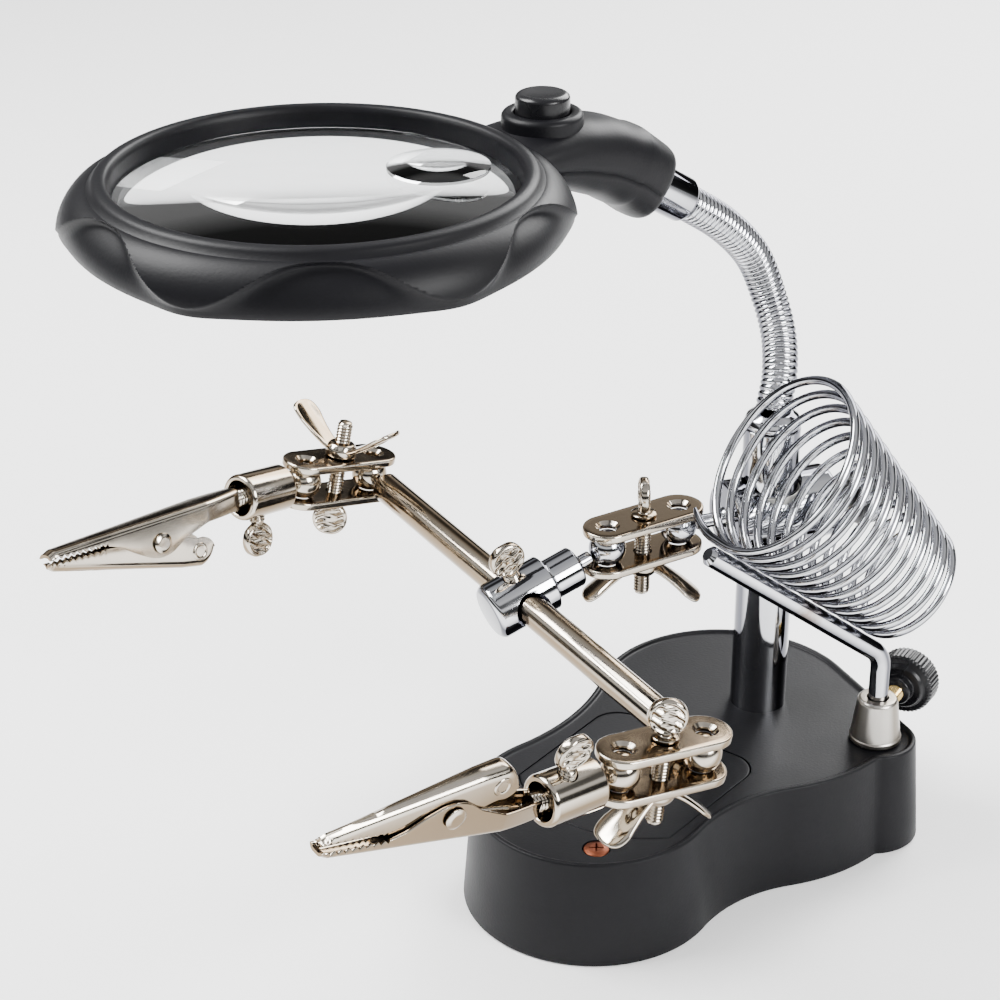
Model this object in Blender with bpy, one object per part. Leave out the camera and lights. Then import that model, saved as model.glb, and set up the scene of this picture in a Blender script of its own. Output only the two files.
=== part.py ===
"""Helping hands clamp: a weighted base, a post with a jointed arm that carries two spring clips,
a coiled soldering iron stand and a lighted magnifier on a gooseneck.

Every dimension is in millimetres. Z is up, the origin is on the underside of the base under the
post's axis, and +Y runs along the base from its small front lobe to its large back lobe.
"""

import math

import bmesh
import bpy
import numpy as np
from mathutils import Matrix, Vector

MM = 0.001
GAP = 0.3
UP = Vector((0.0, 0.0, 1.0))

# Base
BASE_HEIGHT = 27.2
BASE_DRAFT = 2.2
LIP_HEIGHT = 0.8
LIP_WIDTH = 1.2
WALL = 2.6
FLOOR_THICKNESS = 2.0
FRONT_LOBE = Vector((-7.0, -62.9))
FRONT_LOBE_RADIUS = 28.8
BACK_LOBE = Vector((-7.0, -2.9))
BACK_LOBE_RADIUS = 33.0
FLANK_RADIUS = 46.0
EAR = Vector((33.3, 1.7))
EAR_RADIUS = 10.0
EAR_FILLET = 4.0
LEFT_WAIST_RADIUS = 60.0
RIGHT_WAIST_RADIUS = 40.0
COVER_LENGTH = 48.0
COVER_WIDTH = 44.6
COVER_CENTRE = Vector((-5.0, -50.0))
COVER_THICKNESS = 1.8
COVER_CORNER = 7.0
COVER_SCREW = Vector((6.0, -79.4))
BALLAST_RADIUS = 21.5
BALLAST_HEIGHT = 14.0

# Post and its clamp
POST_RADIUS = 7.0
POST_BORE = 5.8
POST_TOP = 103.6
POST_SIDES = 24
LINER_RADIUS = 7.6
LINER_HEIGHT = 13.0
CLAMP_HEIGHT = 80.8
CLAMP_RADIUS = 9.2
CLAMP_BORE = 7.9
CLAMP_REAR = 16.0
CLAMP_FRONT = 12.0
ARM_AZIMUTH = math.radians(239.2)
BALL_RADIUS = 4.5
NECK_RADIUS = 1.8
CLAMP_BALL_REACH = 24.4
KNOB_RADIUS = 8.0
KNOB_THICKNESS = 8.0
STUD_RADIUS = 2.2

# Ball joints between two plates
BALL_SPACING = 20.9
PLATE_WIDTH = 12.0
PLATE_THICKNESS = 2.0
PLATE_INSIDE = 3.8
BALL_HOLE_RADIUS = 2.9
SCREW_RADIUS = 2.0
SCREW_SIDES = 12
SCREW_HOLE_RADIUS = 2.3
PADDLE_RADIUS = 4.5
PADDLE_THICKNESS = 2.8
PLATE_SCREW_TAIL = 15.0
WING_SPAN = 14.5
WING_RISE = 8.5
WING_WIDTH = 8.5
WING_THICKNESS = 1.4
NUT_HUB_RADIUS = 4.0
NUT_HUB_HEIGHT = 3.4

# Rod and rod clamp
ROD_RADIUS = 3.8
ROD_DIRECTION = Vector((0.9445, -0.319, -0.0782)).normalized()
ROD_LEFT_REACH = 67.9
ROD_FRONT_REACH = 70.9
ROD_CLAMP_DIRECTION = Vector((-0.406, -0.863, -0.302)).normalized()
ROD_CLAMP_REACH = 25.2
ROD_CLAMP_RADIUS = 6.9
ROD_CLAMP_LENGTH = 16.2
ROD_CLAMP_BORE = 4.5
ROD_CLAMP_SHANK_RADIUS = 5.0
SHOULDER = 7.6

# Sockets and clips
SOCKET_RADIUS = 5.8
SOCKET_BORE = 4.3
SOCKET_LENGTH = 14.6
SOCKET_DEPTH = 12.0
CLIP_LENGTH = 58.0
CLIP_TAIL = 9.0
JAW_REAR_HALF_WIDTH = 4.6
JAW_TIP_HALF_WIDTH = 2.2
SHEET = 0.7
RIVET_X = 27.0
RIVET_Z = 4.3
RIVET_RADIUS = 1.5

# Iron stand
FERRULE_HEIGHT = 11.8
FERRULE_FOOT_RADIUS = 6.5
FERRULE_TOP_RADIUS = 5.0
FERRULE_KNOB_HEIGHT = 33.5
STEM_RADIUS = 2.5
STEM_BEND_HEIGHT = 50.5
STEM_BEND_RADIUS = 7.0
STEM_DIRECTION = Vector((-0.400, -0.684, 0.608)).normalized()
STEM_SLOPE_LENGTH = 61.8
COIL_MOUTH_RADIUS = 22.8
COIL_END_RADIUS = 14.2
COIL_LENGTH = 56.0
COIL_TURNS = 12
COIL_START = math.radians(304)
COIL_FLARE = 2.4
WIRE_RADIUS = 1.1

# Gooseneck and magnifier
NECK_TUBE_RADIUS = 4.25
NECK_LINKS = 4
NECK_ROUTE = (
    (0.0, 0.0, 108.4),
    (-0.8, 3.4, 115.6),
    (-4.8, 8.8, 122.8),
    (-9.6, 11.2, 131.2),
    (-12.9, 8.2, 141.8),
    (-15.4, -1.4, 151.9),
    (-18.9, -13.1, 160.4),
)
SLEEVE_RADIUS = 5.5
SLEEVE_END = Vector((-22.7, -25.2, 168.3))
HEAD_CENTRE = Vector((-48.5, -107.3, 187.9))
HEAD_BEAD_RADIUS = 45.2
HEAD_SKIRT_RADIUS = 54.2
HEAD_DEPTH = 13.3
HEAD_BORE = 42.8
HEAD_LEDGE = 40.6
SCALLOP_DEPTH = 3.2
SCALLOPS = 6
HEAD_AZIMUTH = math.atan2(82.1, 25.8)
BUTTON_REACH = 57.6
BOSS_RADIUS = 9.1
BUTTON_RADIUS = 6.05
BUTTON_TOP = 6.0
LENS_RADIUS = 42.4
SMALL_LENS_RADIUS = 11.0
LED_RADIUS = 2.4


# ---------------------------------------------------------------- general helpers


def placed(origin, z_axis=UP, x_hint=(1.0, 0.0, 0.0)):
    """Matrix, in millimetres, of a frame whose Z runs along z_axis and whose X is nearest x_hint."""
    z = Vector(z_axis).normalized()
    y = z.cross(Vector(x_hint)).normalized()
    x = y.cross(z)
    matrix = Matrix((x, y, z)).transposed().to_4x4()
    matrix.translation = Vector(origin)
    return matrix


def material(name, colour, roughness, metallic):
    """A plain Principled material."""
    made = bpy.data.materials.get(name) or bpy.data.materials.new(name)
    made.use_nodes = True
    shader = made.node_tree.nodes["Principled BSDF"]
    shader.inputs["Base Color"].default_value = (*colour, 1.0)
    shader.inputs["Roughness"].default_value = roughness
    shader.inputs["Metallic"].default_value = metallic
    return made


MATERIALS = {
    "black_plastic": ((0.02, 0.02, 0.024), 0.45, 0.0),
    "chrome": ((0.80, 0.81, 0.83), 0.08, 1.0),
    "nickel": ((0.72, 0.67, 0.60), 0.15, 1.0),
    "satin_nickel": ((0.66, 0.63, 0.58), 0.35, 1.0),
    "cast_iron": ((0.12, 0.12, 0.13), 0.60, 1.0),
    "copper_steel": ((0.45, 0.16, 0.08), 0.40, 1.0),
    "brass": ((0.80, 0.62, 0.30), 0.25, 1.0),
    "nylon": ((0.80, 0.79, 0.75), 0.50, 0.0),
    "lens": ((0.95, 0.97, 0.98), 0.03, 0.0),
    "led": ((0.95, 0.95, 0.90), 0.10, 0.0),
}


def mesh_of(name, points, faces):
    """Mesh in metres from points in millimetres, with its faces turned outwards."""
    mesh = bpy.data.meshes.new(name)
    mesh.from_pydata([tuple(float(c) * MM for c in p) for p in points], [], faces)
    work = bmesh.new()
    work.from_mesh(mesh)
    bmesh.ops.recalc_face_normals(work, faces=work.faces)
    work.to_mesh(mesh)
    work.free()
    mesh.shade_smooth()
    mesh.set_sharp_from_angle(angle=math.radians(35))
    return mesh


def add(name, shape, finish, place=None):
    """New object from (points, faces), or from a ready mesh, in one of the MATERIALS."""
    mesh = shape if isinstance(shape, bpy.types.Mesh) else mesh_of(name, *shape)
    made = bpy.data.objects.new(name, mesh)
    bpy.context.scene.collection.objects.link(made)
    if not mesh.materials:
        mesh.materials.append(material(finish, *MATERIALS[finish]))
    matrix = (place or Matrix()).copy()
    matrix.translation = matrix.translation * MM
    made.matrix_world = matrix
    return made


def set_origin(made, pivot):
    """Puts an object's origin on its joint's axis. Its surface stays where it is."""
    shift = Vector(pivot) * MM - made.matrix_world.translation
    turn = made.matrix_world.to_3x3()
    made.data.transform(Matrix.Translation(-(turn.inverted() @ shift)))
    made.matrix_world = Matrix.Translation(shift) @ made.matrix_world


def helper(name, shape, place=None):
    """A cutter or an extra body: never rendered, drawn as a wire."""
    made = add(name, shape, "nickel", place)
    made.hide_render = True
    made.display_type = "WIRE"
    return made


def boolean(target, other, operation):
    """Adds an exact Boolean modifier."""
    modifier = target.modifiers.new(other.name, "BOOLEAN")
    modifier.object = other
    modifier.operation = operation
    modifier.solver = "EXACT"
    return target


def finished_mesh(made):
    """Mesh of an object with its modifiers applied. The object and its helpers are removed."""
    bpy.context.view_layer.update()
    graph = bpy.context.evaluated_depsgraph_get()
    mesh = bpy.data.meshes.new_from_object(made.evaluated_get(graph))
    mesh.name = made.name
    helpers = [modifier.object for modifier in made.modifiers]
    for spare in [made] + helpers:
        bpy.data.objects.remove(spare)
    return mesh


def loft(rings, closed=False):
    """Skin over rings of equal size. An open skin gets a flat face on each end."""
    count = len(rings[0])
    points = [p for ring in rings for p in ring]
    last = len(rings) if closed else len(rings) - 1
    faces = []
    for row in range(last):
        low = row * count
        high = (row + 1) % len(rings) * count
        for i in range(count):
            j = (i + 1) % count
            faces.append((low + i, low + j, high + j, high + i))
    if not closed:
        faces.append(tuple(range(count))[::-1])
        faces.append(tuple(range((len(rings) - 1) * count, len(rings) * count)))
    return points, faces


def circle(radius, z, sides, flat=1.0):
    """Ring of points round Z. flat below 1 squeezes it along Y."""
    turn = np.arange(sides) * 2 * math.pi / sides
    return np.stack([radius * np.cos(turn), radius * flat * np.sin(turn), np.full(sides, z)], 1)


def turned(profile, sides=18, closed=False):
    """Solid turned round Z from (radius, z) pairs. A closed profile makes a tube."""
    return loft([circle(radius, z, sides) for radius, z in profile], closed)


def rod(radius, low, high, sides=20):
    """Plain cylinder along Z."""
    return turned([(radius, low), (radius, high)], sides)


def sphere(radius, sides=12, rows=6):
    """Ball whose poles are small flat faces."""
    tilt = np.linspace(0.12, math.pi - 0.12, rows)
    return turned([(radius * math.sin(a), -radius * math.cos(a)) for a in tilt], sides)


def prism(outline, low, high):
    """Outline of (x, y) points carried straight up."""
    return loft([[(x, y, z) for x, y in outline] for z in (low, high)])


def swept(path, radius, sides=8):
    """Round bar along a path, with flat ends. The radius may change along it."""
    path = np.asarray(path, float)
    along = np.gradient(path, axis=0)
    along /= np.linalg.norm(along, axis=1)[:, None]
    radii = np.broadcast_to(radius, len(path))
    side = np.cross(along[0], (0.31, 0.17, 0.93))
    turn = np.arange(sides) * 2 * math.pi / sides
    rings = []
    for centre, direction, size in zip(path, along, radii):
        side = side - direction * side.dot(direction)
        side /= np.linalg.norm(side)
        other = np.cross(direction, side)
        rings.append(centre + size * (np.outer(np.cos(turn), side) + np.outer(np.sin(turn), other)))
    return loft(rings)


def arc_points(centre, radius, start, end, count):
    """Points on an arc from angle start to angle end, in radians."""
    turn = np.linspace(start, end, count)
    return [(centre[0] + radius * math.cos(a), centre[1] + radius * math.sin(a)) for a in turn]


# ---------------------------------------------------------------- base


def waist_centre(first, first_radius, second, second_radius, radius, side):
    """Centre of the hollow arc that touches two round lobes, on the given side of their line."""
    line = second - first
    length = line.length
    along = (length**2 + (first_radius + radius) ** 2 - (second_radius + radius) ** 2) / (2 * length)
    across = math.sqrt((first_radius + radius) ** 2 - along**2)
    unit = line / length
    return first + unit * along + Vector((-unit.y, unit.x)) * side * across


def base_outline(grow):
    """Outline of the base, grow millimetres outside its top edge, anticlockwise from the left."""

    def angle(centre, towards):
        return math.atan2(towards.y - centre.y, towards.x - centre.x)

    left = waist_centre(
        FRONT_LOBE, FRONT_LOBE_RADIUS, BACK_LOBE, BACK_LOBE_RADIUS, LEFT_WAIST_RADIUS, 1
    )
    right = waist_centre(
        FRONT_LOBE, FRONT_LOBE_RADIUS, BACK_LOBE, FLANK_RADIUS, RIGHT_WAIST_RADIUS, -1
    )
    notch = waist_centre(BACK_LOBE, FLANK_RADIUS, EAR, EAR_RADIUS, EAR_FILLET, -1)
    reach = EAR - BACK_LOBE
    tangent = math.atan2(reach.y, reach.x) + math.acos((BACK_LOBE_RADIUS - EAR_RADIUS) / reach.length)
    arcs = (
        (FRONT_LOBE, FRONT_LOBE_RADIUS, angle(FRONT_LOBE, left), angle(FRONT_LOBE, right), 1, 16),
        (right, RIGHT_WAIST_RADIUS, angle(right, FRONT_LOBE), angle(right, BACK_LOBE), -1, 6),
        (BACK_LOBE, FLANK_RADIUS, angle(BACK_LOBE, right), angle(BACK_LOBE, notch), 1, 5),
        (notch, EAR_FILLET, angle(notch, BACK_LOBE), angle(notch, EAR), -1, 4),
        (EAR, EAR_RADIUS, angle(EAR, notch), tangent, 1, 8),
        (BACK_LOBE, BACK_LOBE_RADIUS, tangent, angle(BACK_LOBE, left), 1, 15),
        (left, LEFT_WAIST_RADIUS, angle(left, BACK_LOBE), angle(left, FRONT_LOBE), -1, 6),
    )
    outline = []
    for centre, radius, start, end, bulge, count in arcs:
        sweep = (end - start) * bulge % (2 * math.pi) * bulge
        outline += arc_points(centre, radius + bulge * grow, start, start + sweep, count)[1:]
    return outline


def cover_outline(grow):
    """Rounded rectangle whose front edge bows out with the lobe."""
    half = COVER_WIDTH / 2 + grow
    back = COVER_CENTRE.y + COVER_LENGTH / 2 + grow
    front = COVER_CENTRE.y - COVER_LENGTH / 2 + 8.0
    bow = arc_points((COVER_CENTRE.x, front + 21.0), 30.0 + grow, math.radians(-137), math.radians(-43), 9)
    radius = COVER_CORNER
    x = COVER_CENTRE.x
    right = arc_points((x + half - radius, back - radius), radius, 0.0, math.pi / 2, 4)
    left = arc_points((x - half + radius, back - radius), radius, math.pi / 2, math.pi, 4)
    return bow + right + left


def ring_at(outline, z):
    """The outline as points at height z."""
    return [(x, y, z) for x, y in outline]


def make_base():
    """Shell, floor, ballast, battery cover and its screw."""
    top = BASE_HEIGHT - LIP_HEIGHT
    inner_top = top - WALL
    shell = loft(
        [
            ring_at(base_outline(-WALL), inner_top),
            ring_at(base_outline(BASE_DRAFT - WALL), 0.0),
            ring_at(base_outline(BASE_DRAFT), 0.0),
            ring_at(base_outline(0.25), BASE_HEIGHT - 0.5),
            ring_at(base_outline(-0.2), BASE_HEIGHT),
            ring_at(base_outline(-LIP_WIDTH), BASE_HEIGHT),
            ring_at(base_outline(-LIP_WIDTH - 0.3), top),
        ]
    )
    base = add("base_shell", shell, "black_plastic")
    cuts = (
        ("cut_cover", prism(cover_outline(GAP), top - COVER_THICKNESS - GAP, top + 5), None),
        ("cut_post", rod(POST_RADIUS + GAP, 20, 40, POST_SIDES), None),
        ("cut_ferrule", rod(3.0 + GAP, 20, 40, 14), placed((*EAR, 0))),
        ("cut_cover_screw", rod(3.1 + GAP, top - 1.5, 40, 14), placed((*COVER_SCREW, 0))),
    )
    for name, shape, place in cuts:
        boolean(base, helper(name, shape, place), "DIFFERENCE")
    floor = prism(base_outline(BASE_DRAFT - WALL - 0.5), 0.0, FLOOR_THICKNESS)
    add("base_floor", floor, "black_plastic")
    low = FLOOR_THICKNESS + GAP
    bore = POST_RADIUS + GAP
    profile = [(bore, low), (BALLAST_RADIUS, low), (BALLAST_RADIUS, BALLAST_HEIGHT), (bore, BALLAST_HEIGHT)]
    add("ballast", turned(profile, 28, True), "cast_iron")
    add("battery_cover", prism(cover_outline(0), top - COVER_THICKNESS, top), "black_plastic")
    head = [(0.4, -1.2), (1.2, -1.2), (3.0, -0.5), (3.0, -0.1), (1.6, 0.3), (0.4, 0.3)]
    add("battery_cover_screw", turned(head, 14), "copper_steel", placed((*COVER_SCREW, top)))


# ---------------------------------------------------------------- shared small pieces


def knob_shape():
    """Knob with a stepped boss, its boss end at z 0 and its flat end outwards."""
    return turned([(3.6, 0.0), (3.6, 2.4), (5.6, 2.6), (6.0, 3.6), (7.6, 3.9), (KNOB_RADIUS, 4.3),
                   (KNOB_RADIUS, KNOB_THICKNESS + 1.4), (7.5, KNOB_THICKNESS + 2.0)], 18)


def knob_with_stud(name, body_origin, direction, inner, outer):
    """Brass stud from inner to outer along direction, and the knob that sits on its end."""
    place = placed(body_origin, direction, UP)
    add(name + "_stud", rod(STUD_RADIUS, inner, outer, 12), "brass", place)
    knob = placed(Vector(body_origin) + Vector(direction).normalized() * (outer + GAP), direction, UP)
    add(name + "_knob", knob_shape(), "black_plastic", knob)


def paddle_rings(paddle):
    """Flat round paddle whose centre is at z paddle, wide along X and thin along Y."""
    rings = []
    for rise, share in ((-0.75, 1.0), (-0.42, 1.0), (0.0, 1.0), (0.42, 1.0), (0.75, 1.0), (0.95, 0.6)):
        half = PADDLE_RADIUS * math.sqrt(1 - rise**2)
        thin = PADDLE_THICKNESS / 2 * share / half
        rings.append(circle(half, paddle + rise * PADDLE_RADIUS, SCREW_SIDES, thin))
    return rings


def thumbscrew_shape(tail, paddle):
    """Screw along Z from z tail up to its paddle."""
    shank = [circle(SCREW_RADIUS, z, SCREW_SIDES) for z in (tail, paddle - PADDLE_RADIUS + 0.2)]
    return loft(shank + paddle_rings(paddle))


def flanged_screw_shape():
    """Plate screw: paddle above the plates, a flange on them and a long threaded tail."""
    face = PLATE_INSIDE + PLATE_THICKNESS + GAP
    paddle = face + PADDLE_RADIUS + 0.6
    sections = ((SCREW_RADIUS, -PLATE_SCREW_TAIL), (SCREW_RADIUS, face), (3.1, face), (2.9, face + 0.6),
                (SCREW_RADIUS, face + 0.6), (SCREW_RADIUS, paddle - PADDLE_RADIUS + 0.2))
    return loft([circle(radius, z, SCREW_SIDES) for radius, z in sections] + paddle_rings(paddle))


def plate_mesh():
    """Plate with two round ends along X, from its first ball hole at the origin, its inner face at z 0."""
    radius = PLATE_WIDTH / 2
    quarter = math.pi / 2
    outline = arc_points((BALL_SPACING, 0), radius, -quarter, quarter, 8)
    outline += arc_points((0, 0), radius, quarter, 3 * quarter, 8)
    plate = add("plate", prism(outline, 0.0, PLATE_THICKNESS), "nickel")
    holes = ((0.0, BALL_HOLE_RADIUS), (BALL_SPACING, BALL_HOLE_RADIUS), (BALL_SPACING / 2, SCREW_HOLE_RADIUS))
    for x, hole in holes:
        boolean(plate, helper("hole", rod(hole, -2, 5, 10), placed((x, 0, 0))), "DIFFERENCE")
    return finished_mesh(plate)


def wing_nut_mesh():
    """Stamped wing nut: a hub at the origin, and two wings that lean up and outwards along X."""
    reach = (-1.0, -0.93, -0.72, -0.34, -0.20, 0.20, 0.34, 0.72, 0.93, 1.0)
    width = (0.35, 0.70, 1.0, 0.72, 0.62, 0.62, 0.72, 1.0, 0.70, 0.35)
    rings = []
    for step, wide in zip(reach, width):
        x = step * WING_SPAN
        lift = max(0.0, abs(step) - 0.22) / 0.78 * WING_RISE + 1.6
        lean = 0.5 if 0.25 < abs(step) else 0.0
        push = math.copysign(lean, -x)
        half = wide * WING_WIDTH / 2
        thick = WING_THICKNESS / 2
        rings.append([(x - push, -half, lift - thick), (x - push, half, lift - thick),
                      (x + push, half, lift + thick), (x + push, -half, lift + thick)])
    nut = add("nut", rod(NUT_HUB_RADIUS, 0.0, NUT_HUB_HEIGHT, 14), "nickel")
    boolean(nut, helper("wings", loft(rings)), "UNION")
    boolean(nut, helper("bore", rod(SCREW_HOLE_RADIUS, -3, 15, 10)), "DIFFERENCE")
    return finished_mesh(nut)


def make_plate_joint(name, first_ball, second_ball, normal, shared, wing_along, paddle_along):
    """Two plates over a pair of balls, the thumbscrew on the normal's side and the wing nut below."""
    centre = (first_ball + second_ball) / 2
    along = second_ball - first_ball
    z = placed(centre, normal, along).to_3x3() @ UP
    for part, outwards in (("upper", z), ("lower", -z)):
        place = placed(first_ball + outwards * PLATE_INSIDE, outwards, along)
        add(name + "_plate_" + part, shared["plate"], "nickel", place)
    add(name + "_screw", shared["plate_screw"], "nickel", placed(centre, z, paddle_along))
    below = centre - z * (PLATE_INSIDE + PLATE_THICKNESS + GAP)
    add(name + "_wing_nut", shared["wing_nut"], "nickel", placed(below, -z, wing_along))


# ---------------------------------------------------------------- post, clamp and arm


def arm_direction():
    """Level direction from the post towards the middle ball joint."""
    return Vector((math.cos(ARM_AZIMUTH), math.sin(ARM_AZIMUTH), 0.0))


def make_post():
    """Post tube, and the sliding liner of its clamp."""
    low = FLOOR_THICKNESS + GAP
    wall = [(POST_BORE, low), (POST_RADIUS, low), (POST_RADIUS, POST_TOP), (POST_BORE, POST_TOP)]
    add("post", turned(wall, POST_SIDES, True), "chrome")
    half = LINER_HEIGHT / 2
    bore = POST_RADIUS + GAP
    liner = [(bore, -half), (LINER_RADIUS, -half), (LINER_RADIUS, half), (bore, half)]
    add("post_clamp_liner", turned(liner, POST_SIDES, True), "nylon", placed((0, 0, CLAMP_HEIGHT)))


def make_post_clamp():
    """Cross-bored clamp with its ball towards the arm and its knob at the back."""
    arm = arm_direction()
    place = placed((0, 0, CLAMP_HEIGHT), arm, UP)
    tip = CLAMP_BALL_REACH - BALL_RADIUS - GAP
    profile = [(CLAMP_RADIUS - 0.8, -CLAMP_REAR), (CLAMP_RADIUS, -CLAMP_REAR + 0.8),
               (CLAMP_RADIUS, CLAMP_FRONT - 0.8), (CLAMP_RADIUS - 0.8, CLAMP_FRONT),
               (NECK_RADIUS, CLAMP_FRONT), (NECK_RADIUS, tip)]
    clamp = add("post_clamp", turned(profile, 20), "chrome", place)
    boolean(clamp, helper("cut_post_bore", rod(CLAMP_BORE, 50, 110, POST_SIDES)), "DIFFERENCE")
    stud_hole = rod(STUD_RADIUS + GAP, -CLAMP_REAR - 1, -4, 12)
    boolean(clamp, helper("cut_post_stud", stud_hole, place), "DIFFERENCE")
    knob_with_stud("post_clamp", (0, 0, CLAMP_HEIGHT), -arm, LINER_RADIUS + GAP, CLAMP_REAR + 3.6)
    ball = arm * CLAMP_BALL_REACH + UP * CLAMP_HEIGHT
    add("post_clamp_ball", sphere(BALL_RADIUS), "chrome", placed(ball, arm, UP))
    return ball


def make_rod_clamp(ball, shared):
    """Cross-bored clamp of the rod, with its ball and its thumbscrew. Returns the bore's centre."""
    axis = ROD_CLAMP_DIRECTION
    bore = ball + axis * ROD_CLAMP_REACH
    add("rod_clamp_ball", sphere(BALL_RADIUS), "chrome", placed(ball, axis, UP))
    half = ROD_CLAMP_LENGTH / 2
    start = BALL_RADIUS + GAP - ROD_CLAMP_REACH
    profile = [(NECK_RADIUS, start), (NECK_RADIUS, start + 3.9), (ROD_CLAMP_SHANK_RADIUS - 0.6, start + 3.9),
               (ROD_CLAMP_SHANK_RADIUS, start + 4.5), (ROD_CLAMP_SHANK_RADIUS, -half),
               (ROD_CLAMP_RADIUS, -half), (ROD_CLAMP_RADIUS, half - 1.0), (ROD_CLAMP_RADIUS - 1.0, half)]
    clamp = add("rod_clamp", turned(profile, 18), "chrome", placed(bore, axis, UP))
    through = rod(ROD_CLAMP_BORE, -12, 12, 16)
    boolean(clamp, helper("cut_rod_bore", through, placed(bore, ROD_DIRECTION, UP)), "DIFFERENCE")
    up = axis.cross(ROD_DIRECTION).normalized()
    screw_place = placed(bore, up, axis)
    hole = rod(SCREW_HOLE_RADIUS, 3, 12, 10)
    boolean(clamp, helper("cut_rod_screw", hole, screw_place), "DIFFERENCE")
    add("rod_clamp_screw", thumbscrew_shape(ROD_RADIUS + GAP, 12.4), "nickel", screw_place)
    return bore


def make_cross_rod(centre):
    """Rod through the clamp with a thin neck towards each of its two balls."""
    left = centre - ROD_DIRECTION * ROD_LEFT_REACH
    front = centre + ROD_DIRECTION * ROD_FRONT_REACH
    low = BALL_RADIUS + GAP - ROD_LEFT_REACH
    high = ROD_FRONT_REACH - BALL_RADIUS - GAP
    profile = [(NECK_RADIUS, low), (NECK_RADIUS, SHOULDER - ROD_LEFT_REACH),
               (ROD_RADIUS - 0.5, SHOULDER - ROD_LEFT_REACH), (ROD_RADIUS, SHOULDER + 0.5 - ROD_LEFT_REACH),
               (ROD_RADIUS, ROD_FRONT_REACH - SHOULDER - 0.5), (ROD_RADIUS - 0.5, ROD_FRONT_REACH - SHOULDER),
               (NECK_RADIUS, ROD_FRONT_REACH - SHOULDER), (NECK_RADIUS, high)]
    add("cross_rod", turned(profile, 16), "nickel", placed(centre, ROD_DIRECTION, UP))
    add("left_rod_ball", sphere(BALL_RADIUS), "nickel", placed(left, ROD_DIRECTION, UP))
    add("front_rod_ball", sphere(BALL_RADIUS), "nickel", placed(front, ROD_DIRECTION, UP))
    return left, front


# ---------------------------------------------------------------- sockets and clips


def jaw_half_width(x):
    """Half the outer width of the clip at distance x in front of the socket."""
    return JAW_REAR_HALF_WIDTH + (JAW_TIP_HALF_WIDTH - JAW_REAR_HALF_WIDTH) * x / CLIP_LENGTH


def side_plate(outline, inset):
    """Side view outline (x, z) given the clip's tapering width, inset from it on both sides."""
    rings = [[(x, side * (jaw_half_width(x) - inset), z) for x, z in outline] for side in (-1, 1)]
    return loft(rings)


def across(radius, half, sides=12):
    """Cylinder across the clip at its rivet."""
    return rod(radius, -half, half, sides), placed((RIVET_X, 0, RIVET_Z), (0, 1, 0))


def fixed_jaw_mesh():
    """Jaw in one piece with the tail that the socket holds. X runs to the tip, +Z to the other jaw."""
    outline = ((2, -3.0), (56.5, -0.7), (58, 0.3), (58, 1.5), (42, 1.7), (38, 3.0), (34, 5.5),
               (30, 7.4), (27, 7.9), (24, 7.4), (20, 5.0), (13, 2.6), (2, 2.4))
    hollow = ((4, -2.2), (56.2, 0.1), (56.8, 0.8), (56.8, 10), (4, 10))
    jaw = add("fixed_jaw", side_plate(outline, 0.0), "nickel")
    boolean(jaw, helper("hollow", side_plate(hollow, SHEET)), "DIFFERENCE")
    tail = rod(2.2, -CLIP_TAIL, 3.4, 12), placed((0, 0, 0), (1, 0, 0), UP)
    boolean(jaw, helper("tail", *tail), "UNION")
    boolean(jaw, helper("rivet_hole", *across(RIVET_RADIUS + GAP, 8)), "DIFFERENCE")
    return finished_mesh(jaw)


def moving_jaw_mesh():
    """Jaw between the fixed jaw's cheeks, with the thumb tail behind the rivet. Its origin is the rivet."""
    outline = ((57.8, 2.2), (42, 2.2), (37, 2.6), (32, 1.8), (27, 1.2), (23, 2.0), (19.5, 4.5), (16, 5.8),
               (12.8, 7.0), (11.2, 9.2), (11.4, 11.8), (13.4, 13.4), (20.5, 12.6), (56.6, 4.4), (57.8, 3.4))
    hollow = ((14.5, -3), (57.0, -3), (57.0, 3.0), (56.4, 3.7), (20.5, 11.7), (14.5, 12.3))
    inset = SHEET + GAP
    jaw = add("moving_jaw", side_plate(outline, inset), "nickel")
    boolean(jaw, helper("hollow", side_plate(hollow, inset + SHEET)), "DIFFERENCE")
    boolean(jaw, helper("rivet_hole", *across(RIVET_RADIUS + GAP, 8)), "DIFFERENCE")
    mesh = finished_mesh(jaw)
    mesh.transform(Matrix.Translation(Vector((-RIVET_X, 0, -RIVET_Z)) * MM))
    return mesh


def rivet_shape():
    """Rivet across the clip with a head on each side."""
    half = jaw_half_width(RIVET_X)
    head = half + GAP + 0.7
    return turned([(1.6, -head), (2.5, -head + 0.4), (2.5, -half - GAP), (RIVET_RADIUS, -half - GAP),
                   (RIVET_RADIUS, half + GAP), (2.5, half + GAP), (2.5, head - 0.4), (1.6, head)], 10)


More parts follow.
